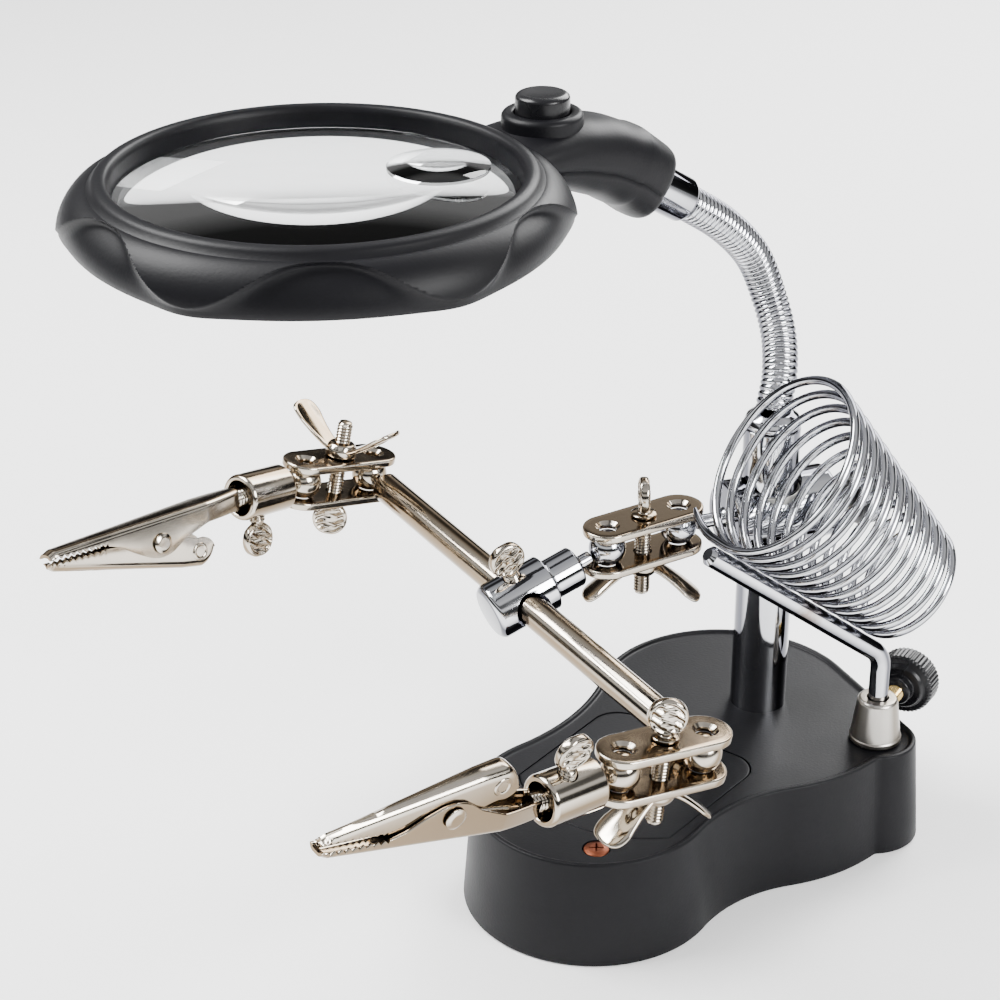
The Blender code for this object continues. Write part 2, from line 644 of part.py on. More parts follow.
def make_socket_and_clip(name, ball, direction, screw_side, clip_direction, clip_up, shared):
    """Socket with its ball and thumbscrew, and the spring clip that it holds."""
    add(name + "_socket_ball", sphere(BALL_RADIUS), "nickel", placed(ball, direction, UP))
    rear = ball + direction * SHOULDER
    start = BALL_RADIUS + GAP - SHOULDER
    floor = SOCKET_LENGTH - SOCKET_DEPTH
    profile = [(NECK_RADIUS, start), (NECK_RADIUS, 0), (SOCKET_RADIUS - 0.5, 0), (SOCKET_RADIUS, 0.5),
               (SOCKET_RADIUS, SOCKET_LENGTH - 0.4), (SOCKET_RADIUS - 0.4, SOCKET_LENGTH),
               (SOCKET_BORE, SOCKET_LENGTH), (SOCKET_BORE, floor)]
    socket = add(name + "_socket", turned(profile, 16), "nickel", placed(rear, direction, UP))
    side = screw_side - direction * screw_side.dot(direction)
    screw_place = placed(rear + direction * 8.6, side, direction)
    hole = rod(SCREW_HOLE_RADIUS, 2, 12, 10)
    boolean(socket, helper("cut_" + name + "_socket", hole, screw_place), "DIFFERENCE")
    add(name + "_socket_screw", shared["socket_screw"], "nickel", screw_place)
    mouth = ball + direction * (SHOULDER + SOCKET_LENGTH)
    up = clip_up - clip_direction * clip_up.dot(clip_direction)
    place = placed(mouth, up, clip_direction)
    rivet_place = place @ placed((RIVET_X, 0, RIVET_Z), (0, 1, 0))
    add(name + "_fixed_jaw", shared["fixed_jaw"], "nickel", place)
    add(name + "_moving_jaw", shared["moving_jaw"], "nickel", place @ Matrix.Translation((RIVET_X, 0, RIVET_Z)))
    add(name + "_rivet", shared["rivet"], "nickel", rivet_place)
    spring = [(RIVET_RADIUS + GAP, -1.3), (2.6, -1.3), (2.6, 1.3), (RIVET_RADIUS + GAP, 1.3)]
    add(name + "_spring", turned(spring, 12, True), "satin_nickel", rivet_place)


# ---------------------------------------------------------------- iron stand


def make_ferrule():
    """Conical ferrule on the ear, with a spigot through the shell, a stem hole and a side screw."""
    foot = BASE_HEIGHT - LIP_HEIGHT + GAP
    top = foot + FERRULE_HEIGHT
    profile = [(3.0, foot - 4.0), (3.0, foot), (FERRULE_FOOT_RADIUS, foot), (FERRULE_FOOT_RADIUS, foot + 1.2),
               (FERRULE_TOP_RADIUS, top - 0.5), (FERRULE_TOP_RADIUS - 0.5, top)]
    place = placed((*EAR, 0))
    ferrule = add("ferrule", turned(profile, 16), "satin_nickel", place)
    bore = rod(STEM_RADIUS + GAP, foot + 1.5, top + 5, 14)
    boolean(ferrule, helper("cut_stem", bore, place), "DIFFERENCE")
    back = Vector((-0.12, 0.99, 0.0)).normalized()
    centre = Vector((*EAR, FERRULE_KNOB_HEIGHT))
    side = rod(STUD_RADIUS + GAP, 1.0, 12, 12)
    boolean(ferrule, helper("cut_ferrule_stud", side, placed(centre, back, UP)), "DIFFERENCE")
    knob_with_stud("ferrule", centre, back, STEM_RADIUS + GAP, 12.0)


def stem_path():
    """Straight up out of the ferrule, a tight bend, and a straight slope."""
    low = Vector((*EAR, BASE_HEIGHT - LIP_HEIGHT + GAP + 2.0))
    bend = Vector((*EAR, STEM_BEND_HEIGHT))
    turn = math.acos(UP.dot(STEM_DIRECTION))
    setback = STEM_BEND_RADIUS * math.tan(turn / 2)
    level = (STEM_DIRECTION - UP * UP.dot(STEM_DIRECTION)).normalized()
    centre = bend - UP * setback + level * STEM_BEND_RADIUS
    points = [low]
    for angle in np.linspace(0.0, turn, 7):
        points.append(centre - level * STEM_BEND_RADIUS * math.cos(angle) + UP * STEM_BEND_RADIUS * math.sin(angle))
    points.append(bend + STEM_DIRECTION * (STEM_SLOPE_LENGTH / 2))
    points.append(bend + STEM_DIRECTION * STEM_SLOPE_LENGTH)
    return points


def coil_path(steps=10):
    """Conical helix whose lowest line lies along the sloping stem. Its free end at the mouth flares out."""
    side = STEM_DIRECTION.cross(UP).normalized()
    lift = side.cross(STEM_DIRECTION).normalized()
    touch = STEM_RADIUS + WIRE_RADIUS + GAP
    top = Vector((*EAR, STEM_BEND_HEIGHT)) + STEM_DIRECTION * STEM_SLOPE_LENGTH
    mouth = top + lift * (COIL_MOUTH_RADIUS + touch)
    end = top - STEM_DIRECTION * COIL_LENGTH + lift * (COIL_END_RADIUS + touch)
    share = np.linspace(0.0, 1.0, COIL_TURNS * steps + 1)[:, None]
    flare = np.clip(1.0 - 10.0 * share * COIL_TURNS, 0.0, 1.0)
    radius = COIL_MOUTH_RADIUS + (COIL_END_RADIUS - COIL_MOUTH_RADIUS) * share + COIL_FLARE * flare
    angle = COIL_START - share * COIL_TURNS * 2 * math.pi
    centre = np.array(mouth) + (np.array(end) - np.array(mouth)) * share
    return centre + radius * (np.cos(angle) * np.array(side) + np.sin(angle) * np.array(lift))


def make_iron_stand():
    """Bent stem and the wire coil that holds the iron."""
    pivot = Vector((*EAR, BASE_HEIGHT))
    set_origin(add("stand_stem", swept(stem_path(), STEM_RADIUS, 10), "chrome"), pivot)
    set_origin(add("holder_coil", swept(coil_path(), WIRE_RADIUS, 5), "chrome"), pivot)


# ---------------------------------------------------------------- gooseneck and magnifier


def neck_curve(count):
    """Even points along a Catmull-Rom curve through NECK_ROUTE."""
    knots = np.array(NECK_ROUTE)
    first = knots[0] - (0, 0, 7)
    last = knots[-1] * 2 - knots[-2]
    knots = np.vstack([first, knots, last])
    points = []
    for a, b, c, d in zip(knots, knots[1:], knots[2:], knots[3:]):
        for t in np.linspace(0, 1, 12, endpoint=False):
            points.append(0.5 * (2 * b + (c - a) * t + (2 * a - 5 * b + 4 * c - d) * t**2
                                 + (3 * b - a - 3 * c + d) * t**3))
    points = np.array(points + [knots[-2]])
    length = np.concatenate([[0], np.cumsum(np.linalg.norm(np.diff(points, axis=0), axis=1))])
    even = np.linspace(0, length[-1], count)
    return np.stack([np.interp(even, length, points[:, axis]) for axis in range(3)], 1), length[-1]


def make_gooseneck():
    """Collar on the post, then links whose waisted ends leave room to bend."""
    plug = [(5.5, POST_TOP - 8), (5.5, POST_TOP + GAP), (POST_RADIUS, POST_TOP + GAP),
            (POST_RADIUS, POST_TOP + 1.6), (6.2, POST_TOP + 3.0), (4.6, POST_TOP + 4.0)]
    add("gooseneck_collar", turned(plug, 16), "chrome")
    curve, length = neck_curve(401)
    per_link = 400 // NECK_LINKS
    margin = max(1, round(0.45 / length * 400))
    chamfer = max(1, round(1.3 / length * 400))
    for link in range(NECK_LINKS):
        low = link * per_link + margin
        high = (link + 1) * per_link - margin
        inner = np.linspace(low + chamfer, high - chamfer, 5).round().astype(int)
        index = [low, *inner, high]
        radius = np.full(len(index), NECK_TUBE_RADIUS)
        radius[[0, -1]] = NECK_TUBE_RADIUS - 0.9
        made = add(f"gooseneck_link_{link + 1}", swept(curve[index], radius, 10), "chrome")
        set_origin(made, curve[link * per_link])
    start = Vector(curve[-1])
    axis = (SLEEVE_END - start).normalized()
    span = (SLEEVE_END - start).length
    sleeve = [(4.0, 0.4), (SLEEVE_RADIUS, 1.0), (SLEEVE_RADIUS, span)]
    add("sleeve", turned(sleeve, 16), "chrome", placed(start, axis, UP))
    return axis


def head_ring():
    """Scalloped ring of the magnifier, turned round the lens axis, top of the bead at z 0."""
    sides = 48
    outer = HEAD_SKIRT_RADIUS
    profile = [(HEAD_BORE, -1.6), (HEAD_BEAD_RADIUS - 1.4, -0.5), (HEAD_BEAD_RADIUS, 0.0),
               (HEAD_BEAD_RADIUS + 1.6, -0.7), (HEAD_BEAD_RADIUS + 2.4, -2.8), (outer - 4.6, -5.6),
               (outer - 1.6, -9.0), (outer, -HEAD_DEPTH + 1.8), (outer - 0.6, -HEAD_DEPTH + 0.4),
               (outer - 2.2, -HEAD_DEPTH), (HEAD_LEDGE, -HEAD_DEPTH), (HEAD_LEDGE, -7.7), (HEAD_BORE, -7.4)]
    turn = np.arange(sides) * 2 * math.pi / sides
    wave = (0.5 + 0.5 * np.cos(SCALLOPS * (turn - HEAD_AZIMUTH))) ** 2
    rings = []
    for radius, z in profile:
        share = min(1.0, max(0.0, (radius - HEAD_BEAD_RADIUS - 1.6) / (outer - HEAD_BEAD_RADIUS - 1.6)))
        bent = radius - SCALLOP_DEPTH * share * wave
        rings.append(np.stack([bent * np.cos(turn), bent * np.sin(turn), np.full(sides, z)], 1))
    return loft(rings, closed=True)


def neck_housing(sleeve_axis):
    """Hollow-looking neck from the ring to the sleeve, as one lofted solid in the head's frame."""
    out = Vector((math.cos(HEAD_AZIMUTH), math.sin(HEAD_AZIMUTH), 0.0))
    side = Vector((-out.y, out.x, 0.0))
    start = SLEEVE_END - HEAD_CENTRE
    stations = ((46.5, -6.6, 12.5, 4.6), (53.0, -6.6, 12.0, 5.6), (62.0, -7.2, 10.6, 6.8), (72.0, -10.4, 9.2, 7.2),
                (80.0, -14.6, 8.2, 7.4))
    turn = np.arange(14) * 2 * math.pi / 14
    rings = []
    for reach, z, wide, tall in stations:
        lean = min(1.0, max(0.0, (reach - 50) / 36))
        up = (UP * (1 - lean) + sleeve_axis.cross(side) * lean).normalized()
        up = up if up.z > 0 else -up
        centre = np.array(out * reach + UP * z)
        rings.append(centre + wide * np.outer(np.cos(turn), side) + tall * np.outer(np.sin(turn), up))
    up = sleeve_axis.cross(side).normalized()
    up = up if up.z > 0 else -up
    centre = np.array(start + sleeve_axis * (GAP + 0.1))
    rings.append(centre + 7.4 * np.outer(np.cos(turn), side) + 7.2 * np.outer(np.sin(turn), up))
    return loft(rings)


def make_head(sleeve_axis):
    """Head shell with its neck, the two lenses, the push button and two lamps."""
    place = placed(HEAD_CENTRE)
    out = Vector((math.cos(HEAD_AZIMUTH), math.sin(HEAD_AZIMUTH), 0.0))
    side = Vector((-out.y, out.x, 0.0))
    head = add("head_shell", head_ring(), "black_plastic", place)
    set_origin(head, SLEEVE_END)
    boolean(head, helper("head_neck", neck_housing(sleeve_axis), place), "UNION")
    button = HEAD_CENTRE + out * BUTTON_REACH
    boss = turned([(BOSS_RADIUS, -7.0), (BOSS_RADIUS, 1.2), (BOSS_RADIUS - 0.8, 1.9)], 18)
    boolean(head, helper("head_boss", boss, placed(button)), "UNION")
    well = rod(BUTTON_RADIUS + GAP, -2.2, 6, 18)
    boolean(head, helper("cut_button", well, placed(button)), "DIFFERENCE")
    cap = [(BUTTON_RADIUS, -0.6), (BUTTON_RADIUS, BUTTON_TOP - 0.8), (BUTTON_RADIUS - 0.8, BUTTON_TOP)]
    add("switch_button", turned(cap, 16), "black_plastic", placed(button))
    for name, offset in (("left", 5.0), ("right", -5.0)):
        spot = HEAD_CENTRE + out * 45.8 + side * offset
        boolean(head, helper("cut_led_" + name, rod(LED_RADIUS + GAP, -17, -9.5, 10), placed(spot)), "DIFFERENCE")
        lamp = [(1.0, -13.6), (LED_RADIUS - 0.3, -13.0), (LED_RADIUS, -12.0), (LED_RADIUS, -9.8)]
        add("led_" + name, turned(lamp, 10), "led", placed(spot))
    make_lenses(place)


def make_lenses(place):
    """Large lens on the ring's ledge, and a small strong lens set on it near the neck."""
    bow = 3.4
    steps = np.linspace(0.0, 1.0, 4)
    upper = [(LENS_RADIUS * (1 - s * 0.98), -5.0 + bow * (1 - (1 - s) ** 2)) for s in steps]
    lower = [(radius, -12.4 - z) for radius, z in reversed(upper)]
    add("main_lens", turned(lower + upper, 32), "lens", place)
    small = [(0.3, -0.4), (SMALL_LENS_RADIUS, -0.4), (SMALL_LENS_RADIUS, 0.3), (7.5, 1.3), (3.5, 1.9), (0.3, 2.1)]
    add("small_lens", turned(small, 16), "lens", placed(HEAD_CENTRE + Vector((17.0, 19.0, -1.2))))


def main():
    """Builds the whole object."""
    for spare in list(bpy.data.objects):
        bpy.data.objects.remove(spare)
    make_base()
    shared = {
        "plate": plate_mesh(),
        "wing_nut": wing_nut_mesh(),
        "plate_screw": mesh_of("plate_screw", *flanged_screw_shape()),
        "socket_screw": mesh_of("socket_screw", *thumbscrew_shape(2.7, 11.6)),
        "fixed_jaw": fixed_jaw_mesh(),
        "moving_jaw": moving_jaw_mesh(),
        "rivet": mesh_of("rivet", *rivet_shape()),
    }
    make_post()
    clamp_ball = make_post_clamp()
    second = clamp_ball + Vector((-0.344, -0.939, 0.0)).normalized() * BALL_SPACING
    make_plate_joint("middle", clamp_ball, second, UP, shared, (0.79, 0.61, 0.0), (0.61, -0.79, 0.0))
    centre = make_rod_clamp(second, shared)
    left_ball, front_ball = make_cross_rod(centre)
    left_socket = left_ball + Vector((-0.217, -0.955, 0.200)).normalized() * BALL_SPACING
    front_socket = front_ball + Vector((-0.383, -0.920, 0.086)).normalized() * BALL_SPACING
    make_plate_joint("left", left_ball, left_socket, Vector((-0.082, -0.187, -0.979)), shared,
                     (0.98, 0.19, 0.0), (0.79, 0.61, 0.0))
    make_plate_joint("front", front_ball, front_socket, Vector((0.060, 0.069, 0.996)), shared,
                     (0.31, 0.95, 0.0), (0.79, 0.61, 0.0))
    make_socket_and_clip("left", left_socket, Vector((-0.066, -0.986, 0.155)).normalized(), Vector((0.14, 0.0, -0.99)),
                         Vector((-0.110, -0.988, 0.111)).normalized(), Vector((0.20, 0.0, -0.98)), shared)
    make_socket_and_clip("front", front_socket, Vector((-0.248, -0.967, 0.063)).normalized(), Vector((0.26, 0.0, 0.97)),
                         Vector((-0.219, -0.952, 0.212)).normalized(), Vector((0.17, -0.05, 0.98)), shared)
    make_ferrule()
    make_iron_stand()
    sleeve_axis = make_gooseneck()
    make_head(sleeve_axis)


main()
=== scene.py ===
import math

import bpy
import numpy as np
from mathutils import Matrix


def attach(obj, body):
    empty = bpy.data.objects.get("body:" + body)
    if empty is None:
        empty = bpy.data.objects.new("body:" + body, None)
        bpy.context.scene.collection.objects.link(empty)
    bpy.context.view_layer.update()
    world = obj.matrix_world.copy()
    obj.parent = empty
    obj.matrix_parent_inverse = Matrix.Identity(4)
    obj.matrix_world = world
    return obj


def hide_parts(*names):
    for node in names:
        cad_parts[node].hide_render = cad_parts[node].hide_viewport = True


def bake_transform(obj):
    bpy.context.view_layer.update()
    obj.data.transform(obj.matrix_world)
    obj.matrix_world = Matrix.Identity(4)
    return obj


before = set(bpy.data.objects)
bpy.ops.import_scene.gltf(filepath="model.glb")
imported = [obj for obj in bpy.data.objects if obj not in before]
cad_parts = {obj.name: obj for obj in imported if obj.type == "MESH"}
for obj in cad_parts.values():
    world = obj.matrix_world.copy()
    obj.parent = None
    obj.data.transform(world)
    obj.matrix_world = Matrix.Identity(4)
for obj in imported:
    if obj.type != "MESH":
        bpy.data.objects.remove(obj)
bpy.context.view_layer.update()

# %% [markdown]
# Helping hands clamp: the finished look of every piece over the CAD frame.
#
# The stand is a moulded plastic base with iron inside, plated brass and steel hardware, two
# stamped spring clips, a coil of plated wire and a moulded magnifier. Each piece below is one
# surface with two parameters, written as an array formula in millimetres, so that it can be read
# and changed like a drawing: a profile turned round an axis, a profile carried along a path, or
# rings between two outlines. The row frame is the part's own: Z up, the post's axis through the
# origin, and +Y towards the back lobe of the base.

MM = 0.001
TURN = 2 * math.pi
UP = np.array((0.0, 0.0, 1.0))


def unit(vector):
    """Vector or rows of vectors divided by their length."""
    vector = np.asarray(vector, float)
    return vector / np.linalg.norm(vector, axis=-1, keepdims=True)


def axes(z_axis, x_hint=UP):
    """3x3 rows X, Y, Z of a frame whose Z is given and whose X is nearest the hint."""
    z = unit(z_axis)
    y = unit(np.cross(z, x_hint))
    return np.stack([np.cross(y, z), y, z])


def at(grid, origin, z_axis=UP, x_hint=(1.0, 0.0, 0.0)):
    """Grid of local points put in the row frame: origin + x X + y Y + z Z."""
    return np.asarray(origin, float) + grid @ axes(z_axis, x_hint)


def angles(sides):
    """Even angles round a circle, the last one short of a full turn."""
    return np.arange(sides) * TURN / sides


def rounded(corners, radius=0.4, steps=4):
    """Profile whose inner corners become small arcs: each is the quadratic curve
    (1-t)^2 A + 2t(1-t) P + t^2 B between points A and B at the radius's distance from corner P."""
    p = np.asarray(corners, float)
    back, on = p[:-2] - p[1:-1], p[2:] - p[1:-1]
    size = np.minimum(radius, 0.45 * np.minimum(np.linalg.norm(back, axis=1), np.linalg.norm(on, axis=1)))
    a, b = p[1:-1] + unit(back) * size[:, None], p[1:-1] + unit(on) * size[:, None]
    t = np.linspace(0, 1, steps + 1)[None, :, None]
    arcs = (1 - t) ** 2 * a[:, None] + 2 * t * (1 - t) * p[1:-1, None] + t**2 * b[:, None]
    return np.vstack([p[:1], arcs.reshape(-1, p.shape[1]), p[-1:]])


def lathe(profile, sides=64):
    """Profile of (radius, z) turned round Z: x = r cos a, y = r sin a."""
    r, z = np.asarray(profile, float).T
    a = angles(sides)
    return np.stack([np.outer(r, np.cos(a)), np.outer(r, np.sin(a)), np.outer(z, np.ones(sides))], -1)


def tube(path, radius, guide, sides=24):
    """Round bar along a path: centre + r (cos a S + sin a T), with S = tangent x guide and
    T = tangent x S. The guide is a direction that the path never runs along."""
    along = unit(np.gradient(path, axis=0))
    s = unit(np.cross(along, guide))
    t = np.cross(along, s)
    a = angles(sides)[None, :, None]
    r = np.broadcast_to(radius, (len(path), sides))[..., None]
    return path[:, None] + r * (np.cos(a) * s[:, None] + np.sin(a) * t[:, None])


# %% [markdown]
# Surfaces become meshes in one place. A grid of rings gives quads between neighbouring rings and
# a flat cap at each open end, and the signed volume says whether the faces look outwards.

# %%


def grid_faces(rows, sides, closed):
    """Vertex numbers and face sizes of a grid of rings whose columns wrap round. The rings close on
    themselves too, or else each end gets a cap."""
    last = rows if closed else rows - 1
    i, j = np.meshgrid(np.arange(last), np.arange(sides), indexing="ij")
    low, high, right = i * sides, (i + 1) % rows * sides, (j + 1) % sides
    quads = np.stack([low + j, low + right, high + right, high + j], -1).reshape(-1)
    sizes = np.full(last * sides, 4)
    if not closed:
        ends = [np.arange(sides)[::-1], np.arange(sides) + (rows - 1) * sides]
        quads, sizes = np.concatenate([quads, *ends]), np.append(sizes, [sides, sides])
    return quads, sizes


def volume(points, corners, sizes):
    """Six times the signed volume, from the fan of triangles of every face."""
    start = np.cumsum(sizes) - sizes
    fan = np.repeat(start, sizes - 2)
    step = np.arange(len(fan)) - np.repeat(np.cumsum(sizes - 2) - (sizes - 2), sizes - 2)
    a, b, c = points[corners[fan]], points[corners[fan + step + 1]], points[corners[fan + step + 2]]
    return np.einsum("ij,ij->", a, np.cross(b, c))


def piece(name, grids, finish, body, nodes=(), closed=False, sharp=38):
    """Object from one grid of points, or from several, riding a body in place of its CAD nodes. With body
    None it is left free."""
    grids = grids if isinstance(grids, list) else [grids]
    points, corners, sizes, count = [], [], [], 0
    for grid in grids:
        rows, sides = grid.shape[:2]
        flat = grid.reshape(-1, 3)
        face, size = grid_faces(rows, sides, closed)
        if volume(flat - flat.mean(0), face, size) < 0:
            face, size = face[::-1], size[::-1]
        points.append(flat)
        corners.append(face + count)
        sizes.append(size)
        count += len(flat)
    points, corners, sizes = np.concatenate(points), np.concatenate(corners), np.concatenate(sizes)
    mesh = bpy.data.meshes.new(name)
    mesh.vertices.add(len(points))
    mesh.vertices.foreach_set("co", (points * MM).astype(np.float32).ravel())
    mesh.loops.add(len(corners))
    mesh.loops.foreach_set("vertex_index", corners.astype(np.int32))
    mesh.polygons.add(len(sizes))
    mesh.polygons.foreach_set("loop_start", (np.cumsum(sizes) - sizes).astype(np.int32))
    mesh.update(calc_edges=True)
    mesh.shade_smooth()
    mesh.set_sharp_from_angle(angle=math.radians(sharp))
    mesh.materials.append(FINISHES[finish])
    made = bpy.data.objects.new(name, mesh)
    bpy.context.scene.collection.objects.link(made)
    if body:
        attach(made, body)
    if nodes:
        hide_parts(*nodes)
    return made


def cut(target, name, grid):
    """Takes a closed shape out of a piece with an exact Boolean. The result becomes the piece's own
    mesh at once, so that a bore moves with its piece, and the new rims are kept crisp."""
    mesh = bpy.data.meshes.new(name)
    flat = grid.reshape(-1, 3)
    face, size = grid_faces(*grid.shape[:2], False)
    face, size = (face, size) if volume(flat - flat.mean(0), face, size) > 0 else (face[::-1], size[::-1])
    faces = [f.tolist() for f in np.split(face, np.cumsum(size)[:-1])]
    mesh.from_pydata((flat * MM).tolist(), [], faces)
    other = bpy.data.objects.new(name, mesh)
    bpy.context.scene.collection.objects.link(other)
    modifier = target.modifiers.new(name, "BOOLEAN")
    modifier.object = other
    modifier.solver = "EXACT"
    graph = bpy.context.evaluated_depsgraph_get()
    carved = bpy.data.meshes.new_from_object(target.evaluated_get(graph))
    target.modifiers.remove(modifier)
    bpy.data.objects.remove(other)
    carved.set_sharp_from_angle(angle=math.radians(30))
    target.data = carved


# %% [markdown]
# Finishes. Plating is a mirror with small faults: a slow change of roughness where hands and cloths have
# been, and a very fine ripple left by polishing. Moulded plastic is nearly black with a fine spark-eroded
# grain. Each effect is one small node group on Object coordinates, and the Principled shader stays in the
# material. Plated parts also carry a painted dark reflection: a band of painted shade is multiplied into
# their base colour by the facing angle.

# %%


def new_group(name, inputs, outputs):
    """Empty shader group with named float inputs and typed outputs. Returns it and its two ends."""
    group = bpy.data.node_groups.new(name, "ShaderNodeTree")
    for label, value in inputs.items():
        group.interface.new_socket(label, in_out="INPUT", socket_type="NodeSocketFloat").default_value = value
    for label, kind in outputs.items():
        group.interface.new_socket(label, in_out="OUTPUT", socket_type=kind)
    return group, group.nodes.new("NodeGroupInput"), group.nodes.new("NodeGroupOutput")


def surface_group():
    """Group Worn surface: Roughness = base + smear x noise, and a Normal bumped by fine grain."""
    group, source, sink = new_group(
        "Worn surface",
        {"Roughness": 0.1, "Smear": 0.1, "Smear scale": 60.0, "Grain": 0.02, "Grain scale": 900.0},
        {"Roughness": "NodeSocketFloat", "Normal": "NodeSocketVector"},
    )
    nodes, link = group.nodes, group.links.new
    place = nodes.new("ShaderNodeTexCoord")
    smear = nodes.new("ShaderNodeTexNoise")
    smear.inputs["Detail"].default_value = 5.0
    link(place.outputs["Object"], smear.inputs["Vector"])
    link(source.outputs["Smear scale"], smear.inputs["Scale"])
    spread = nodes.new("ShaderNodeMapRange")
    spread.inputs["From Min"].default_value = 0.42
    spread.inputs["From Max"].default_value = 0.75
    link(smear.outputs["Fac"], spread.inputs["Value"])
    rough = nodes.new("ShaderNodeMath")
    rough.operation = "MULTIPLY_ADD"
    link(spread.outputs["Result"], rough.inputs[0])
    link(source.outputs["Smear"], rough.inputs[1])
    link(source.outputs["Roughness"], rough.inputs[2])
    link(rough.outputs[0], sink.inputs["Roughness"])
    grain = nodes.new("ShaderNodeTexNoise")
    grain.inputs["Detail"].default_value = 3.0
    link(place.outputs["Object"], grain.inputs["Vector"])
    link(source.outputs["Grain scale"], grain.inputs["Scale"])
    bump = nodes.new("ShaderNodeBump")
    bump.inputs["Distance"].default_value = 0.00012
    link(source.outputs["Grain"], bump.inputs["Strength"])
    link(grain.outputs["Fac"], bump.inputs["Height"])
    link(bump.outputs["Normal"], sink.inputs["Normal"])
    return group


def mottle_group():
    """Group Mottle: mixes two colours by a soft noise, for plating tint and moulding haze."""
    group, source, sink = new_group("Mottle", {"Scale": 40.0}, {"Color": "NodeSocketColor"})
    for label in ("Colour B", "Colour A"):
        group.interface.new_socket(label, in_out="INPUT", socket_type="NodeSocketColor")
    nodes, link = group.nodes, group.links.new
    place = nodes.new("ShaderNodeTexCoord")
    noise = nodes.new("ShaderNodeTexNoise")
    noise.inputs["Detail"].default_value = 4.0
    link(place.outputs["Object"], noise.inputs["Vector"])
    link(source.outputs["Scale"], noise.inputs["Scale"])
    mix = nodes.new("ShaderNodeMix")
    mix.data_type = "RGBA"
    link(noise.outputs["Fac"], mix.inputs[0])
    link(source.outputs["Colour A"], mix.inputs[6])
    link(source.outputs["Colour B"], mix.inputs[7])
    link(mix.outputs[2], sink.inputs["Color"])
    return group


def stain_group():
    """Group Burn mark: mixes a colour in near a point, strongest at its centre and ragged at its rim."""
    group, source, sink = new_group("Burn mark", {"Radius": 0.004}, {"Color": "NodeSocketColor"})
    for label in ("Metal", "Mark"):
        group.interface.new_socket(label, in_out="INPUT", socket_type="NodeSocketColor")
    group.interface.new_socket("Centre", in_out="INPUT", socket_type="NodeSocketVector")
    nodes, link = group.nodes, group.links.new
    place = nodes.new("ShaderNodeTexCoord")
    far = nodes.new("ShaderNodeVectorMath")
    far.operation = "DISTANCE"
    link(place.outputs["Object"], far.inputs[0])
    link(source.outputs["Centre"], far.inputs[1])
    noise = nodes.new("ShaderNodeTexNoise")
    noise.inputs["Scale"].default_value = 700.0
    link(place.outputs["Object"], noise.inputs["Vector"])
    ragged = nodes.new("ShaderNodeMath")
    ragged.operation = "MULTIPLY_ADD"
    ragged.inputs[1].default_value = 0.004
    link(noise.outputs["Fac"], ragged.inputs[0])
    link(far.outputs["Value"], ragged.inputs[2])
    fade = nodes.new("ShaderNodeMapRange")
    fade.inputs["From Min"].default_value = 0.0015
    fade.inputs["To Min"].default_value = 1.0
    fade.inputs["To Max"].default_value = 0.0
    link(source.outputs["Radius"], fade.inputs["From Max"])
    link(ragged.outputs[0], fade.inputs["Value"])
    mix = nodes.new("ShaderNodeMix")
    mix.data_type = "RGBA"
    link(fade.outputs["Result"], mix.inputs[0])
    link(source.outputs["Metal"], mix.inputs[6])
    link(source.outputs["Mark"], mix.inputs[7])
    link(mix.outputs[2], sink.inputs["Color"])
    return group


WORN, MOTTLE, BURN = surface_group(), mottle_group(), stain_group()


def painted_reflection_band(nodes, link, tint, shader, shade):
    """Painted dark reflection on plating: the base colour is multiplied by a ramp of the facing angle, white,
    the shade between 0.42 and 0.70, then pale. A band short of the outline is painted darker, standing in for
    the dark side of a room."""
    facing = nodes.new("ShaderNodeLayerWeight")
    facing.inputs["Blend"].default_value = 0.5
    ramp = nodes.new("ShaderNodeValToRGB")
    ramp.color_ramp.elements[0].color = (1, 1, 1, 1)
    ramp.color_ramp.elements[1].color = (0.9, 0.9, 0.9, 1)
    for position, colour in ((0.22, (1, 1, 1)), (0.42, shade), (0.70, shade), (0.88, (0.8, 0.8, 0.8))):
        ramp.color_ramp.elements.new(position).color = (*colour, 1)
    link(facing.outputs["Facing"], ramp.inputs["Fac"])
    mix = nodes.new("ShaderNodeMix")
    mix.data_type = "RGBA"
    mix.blend_type = "MULTIPLY"
    mix.inputs[0].default_value = 1.0
    link(tint.outputs["Color"], mix.inputs[6])
    link(ramp.outputs["Color"], mix.inputs[7])
    link(mix.outputs[2], shader.inputs["Base Color"])


def finish(name, colours, metallic, worn, mark=None, shade=None, specular=0.3):
    """Principled material: two mottled colours, a metallic value and the Worn surface inputs; with a shade, a
    painted dark reflection band on the base colour.
    """
    made = bpy.data.materials.new(name)
    made.use_nodes = True
    nodes, link = made.node_tree.nodes, made.node_tree.links.new
    shader = nodes["Principled BSDF"]
    shader.inputs["Metallic"].default_value = metallic
    surface = nodes.new("ShaderNodeGroup")
    surface.node_tree = WORN
    for label, value in zip(("Roughness", "Smear", "Smear scale", "Grain", "Grain scale"), worn):
        surface.inputs[label].default_value = value
    link(surface.outputs["Roughness"], shader.inputs["Roughness"])
    link(surface.outputs["Normal"], shader.inputs["Normal"])
    tint = nodes.new("ShaderNodeGroup")
    tint.node_tree = BURN if mark else MOTTLE
    first, second = ("Metal", "Mark") if mark else ("Colour A", "Colour B")
    tint.inputs[first].default_value = (*colours[0], 1.0)
    tint.inputs[second].default_value = (*colours[1], 1.0)
    if mark:
        tint.inputs["Centre"].default_value = mark[0]
        tint.inputs["Radius"].default_value = mark[1]
    # Painted shade: with a shade colour, a dark reflection band is painted into the base colour.
    if shade:
        painted_reflection_band(nodes, link, tint, shader, shade)
    else:
        link(tint.outputs["Color"], shader.inputs["Base Color"])
    if not metallic:
        shader.inputs["Specular IOR Level"].default_value = specular
    return made


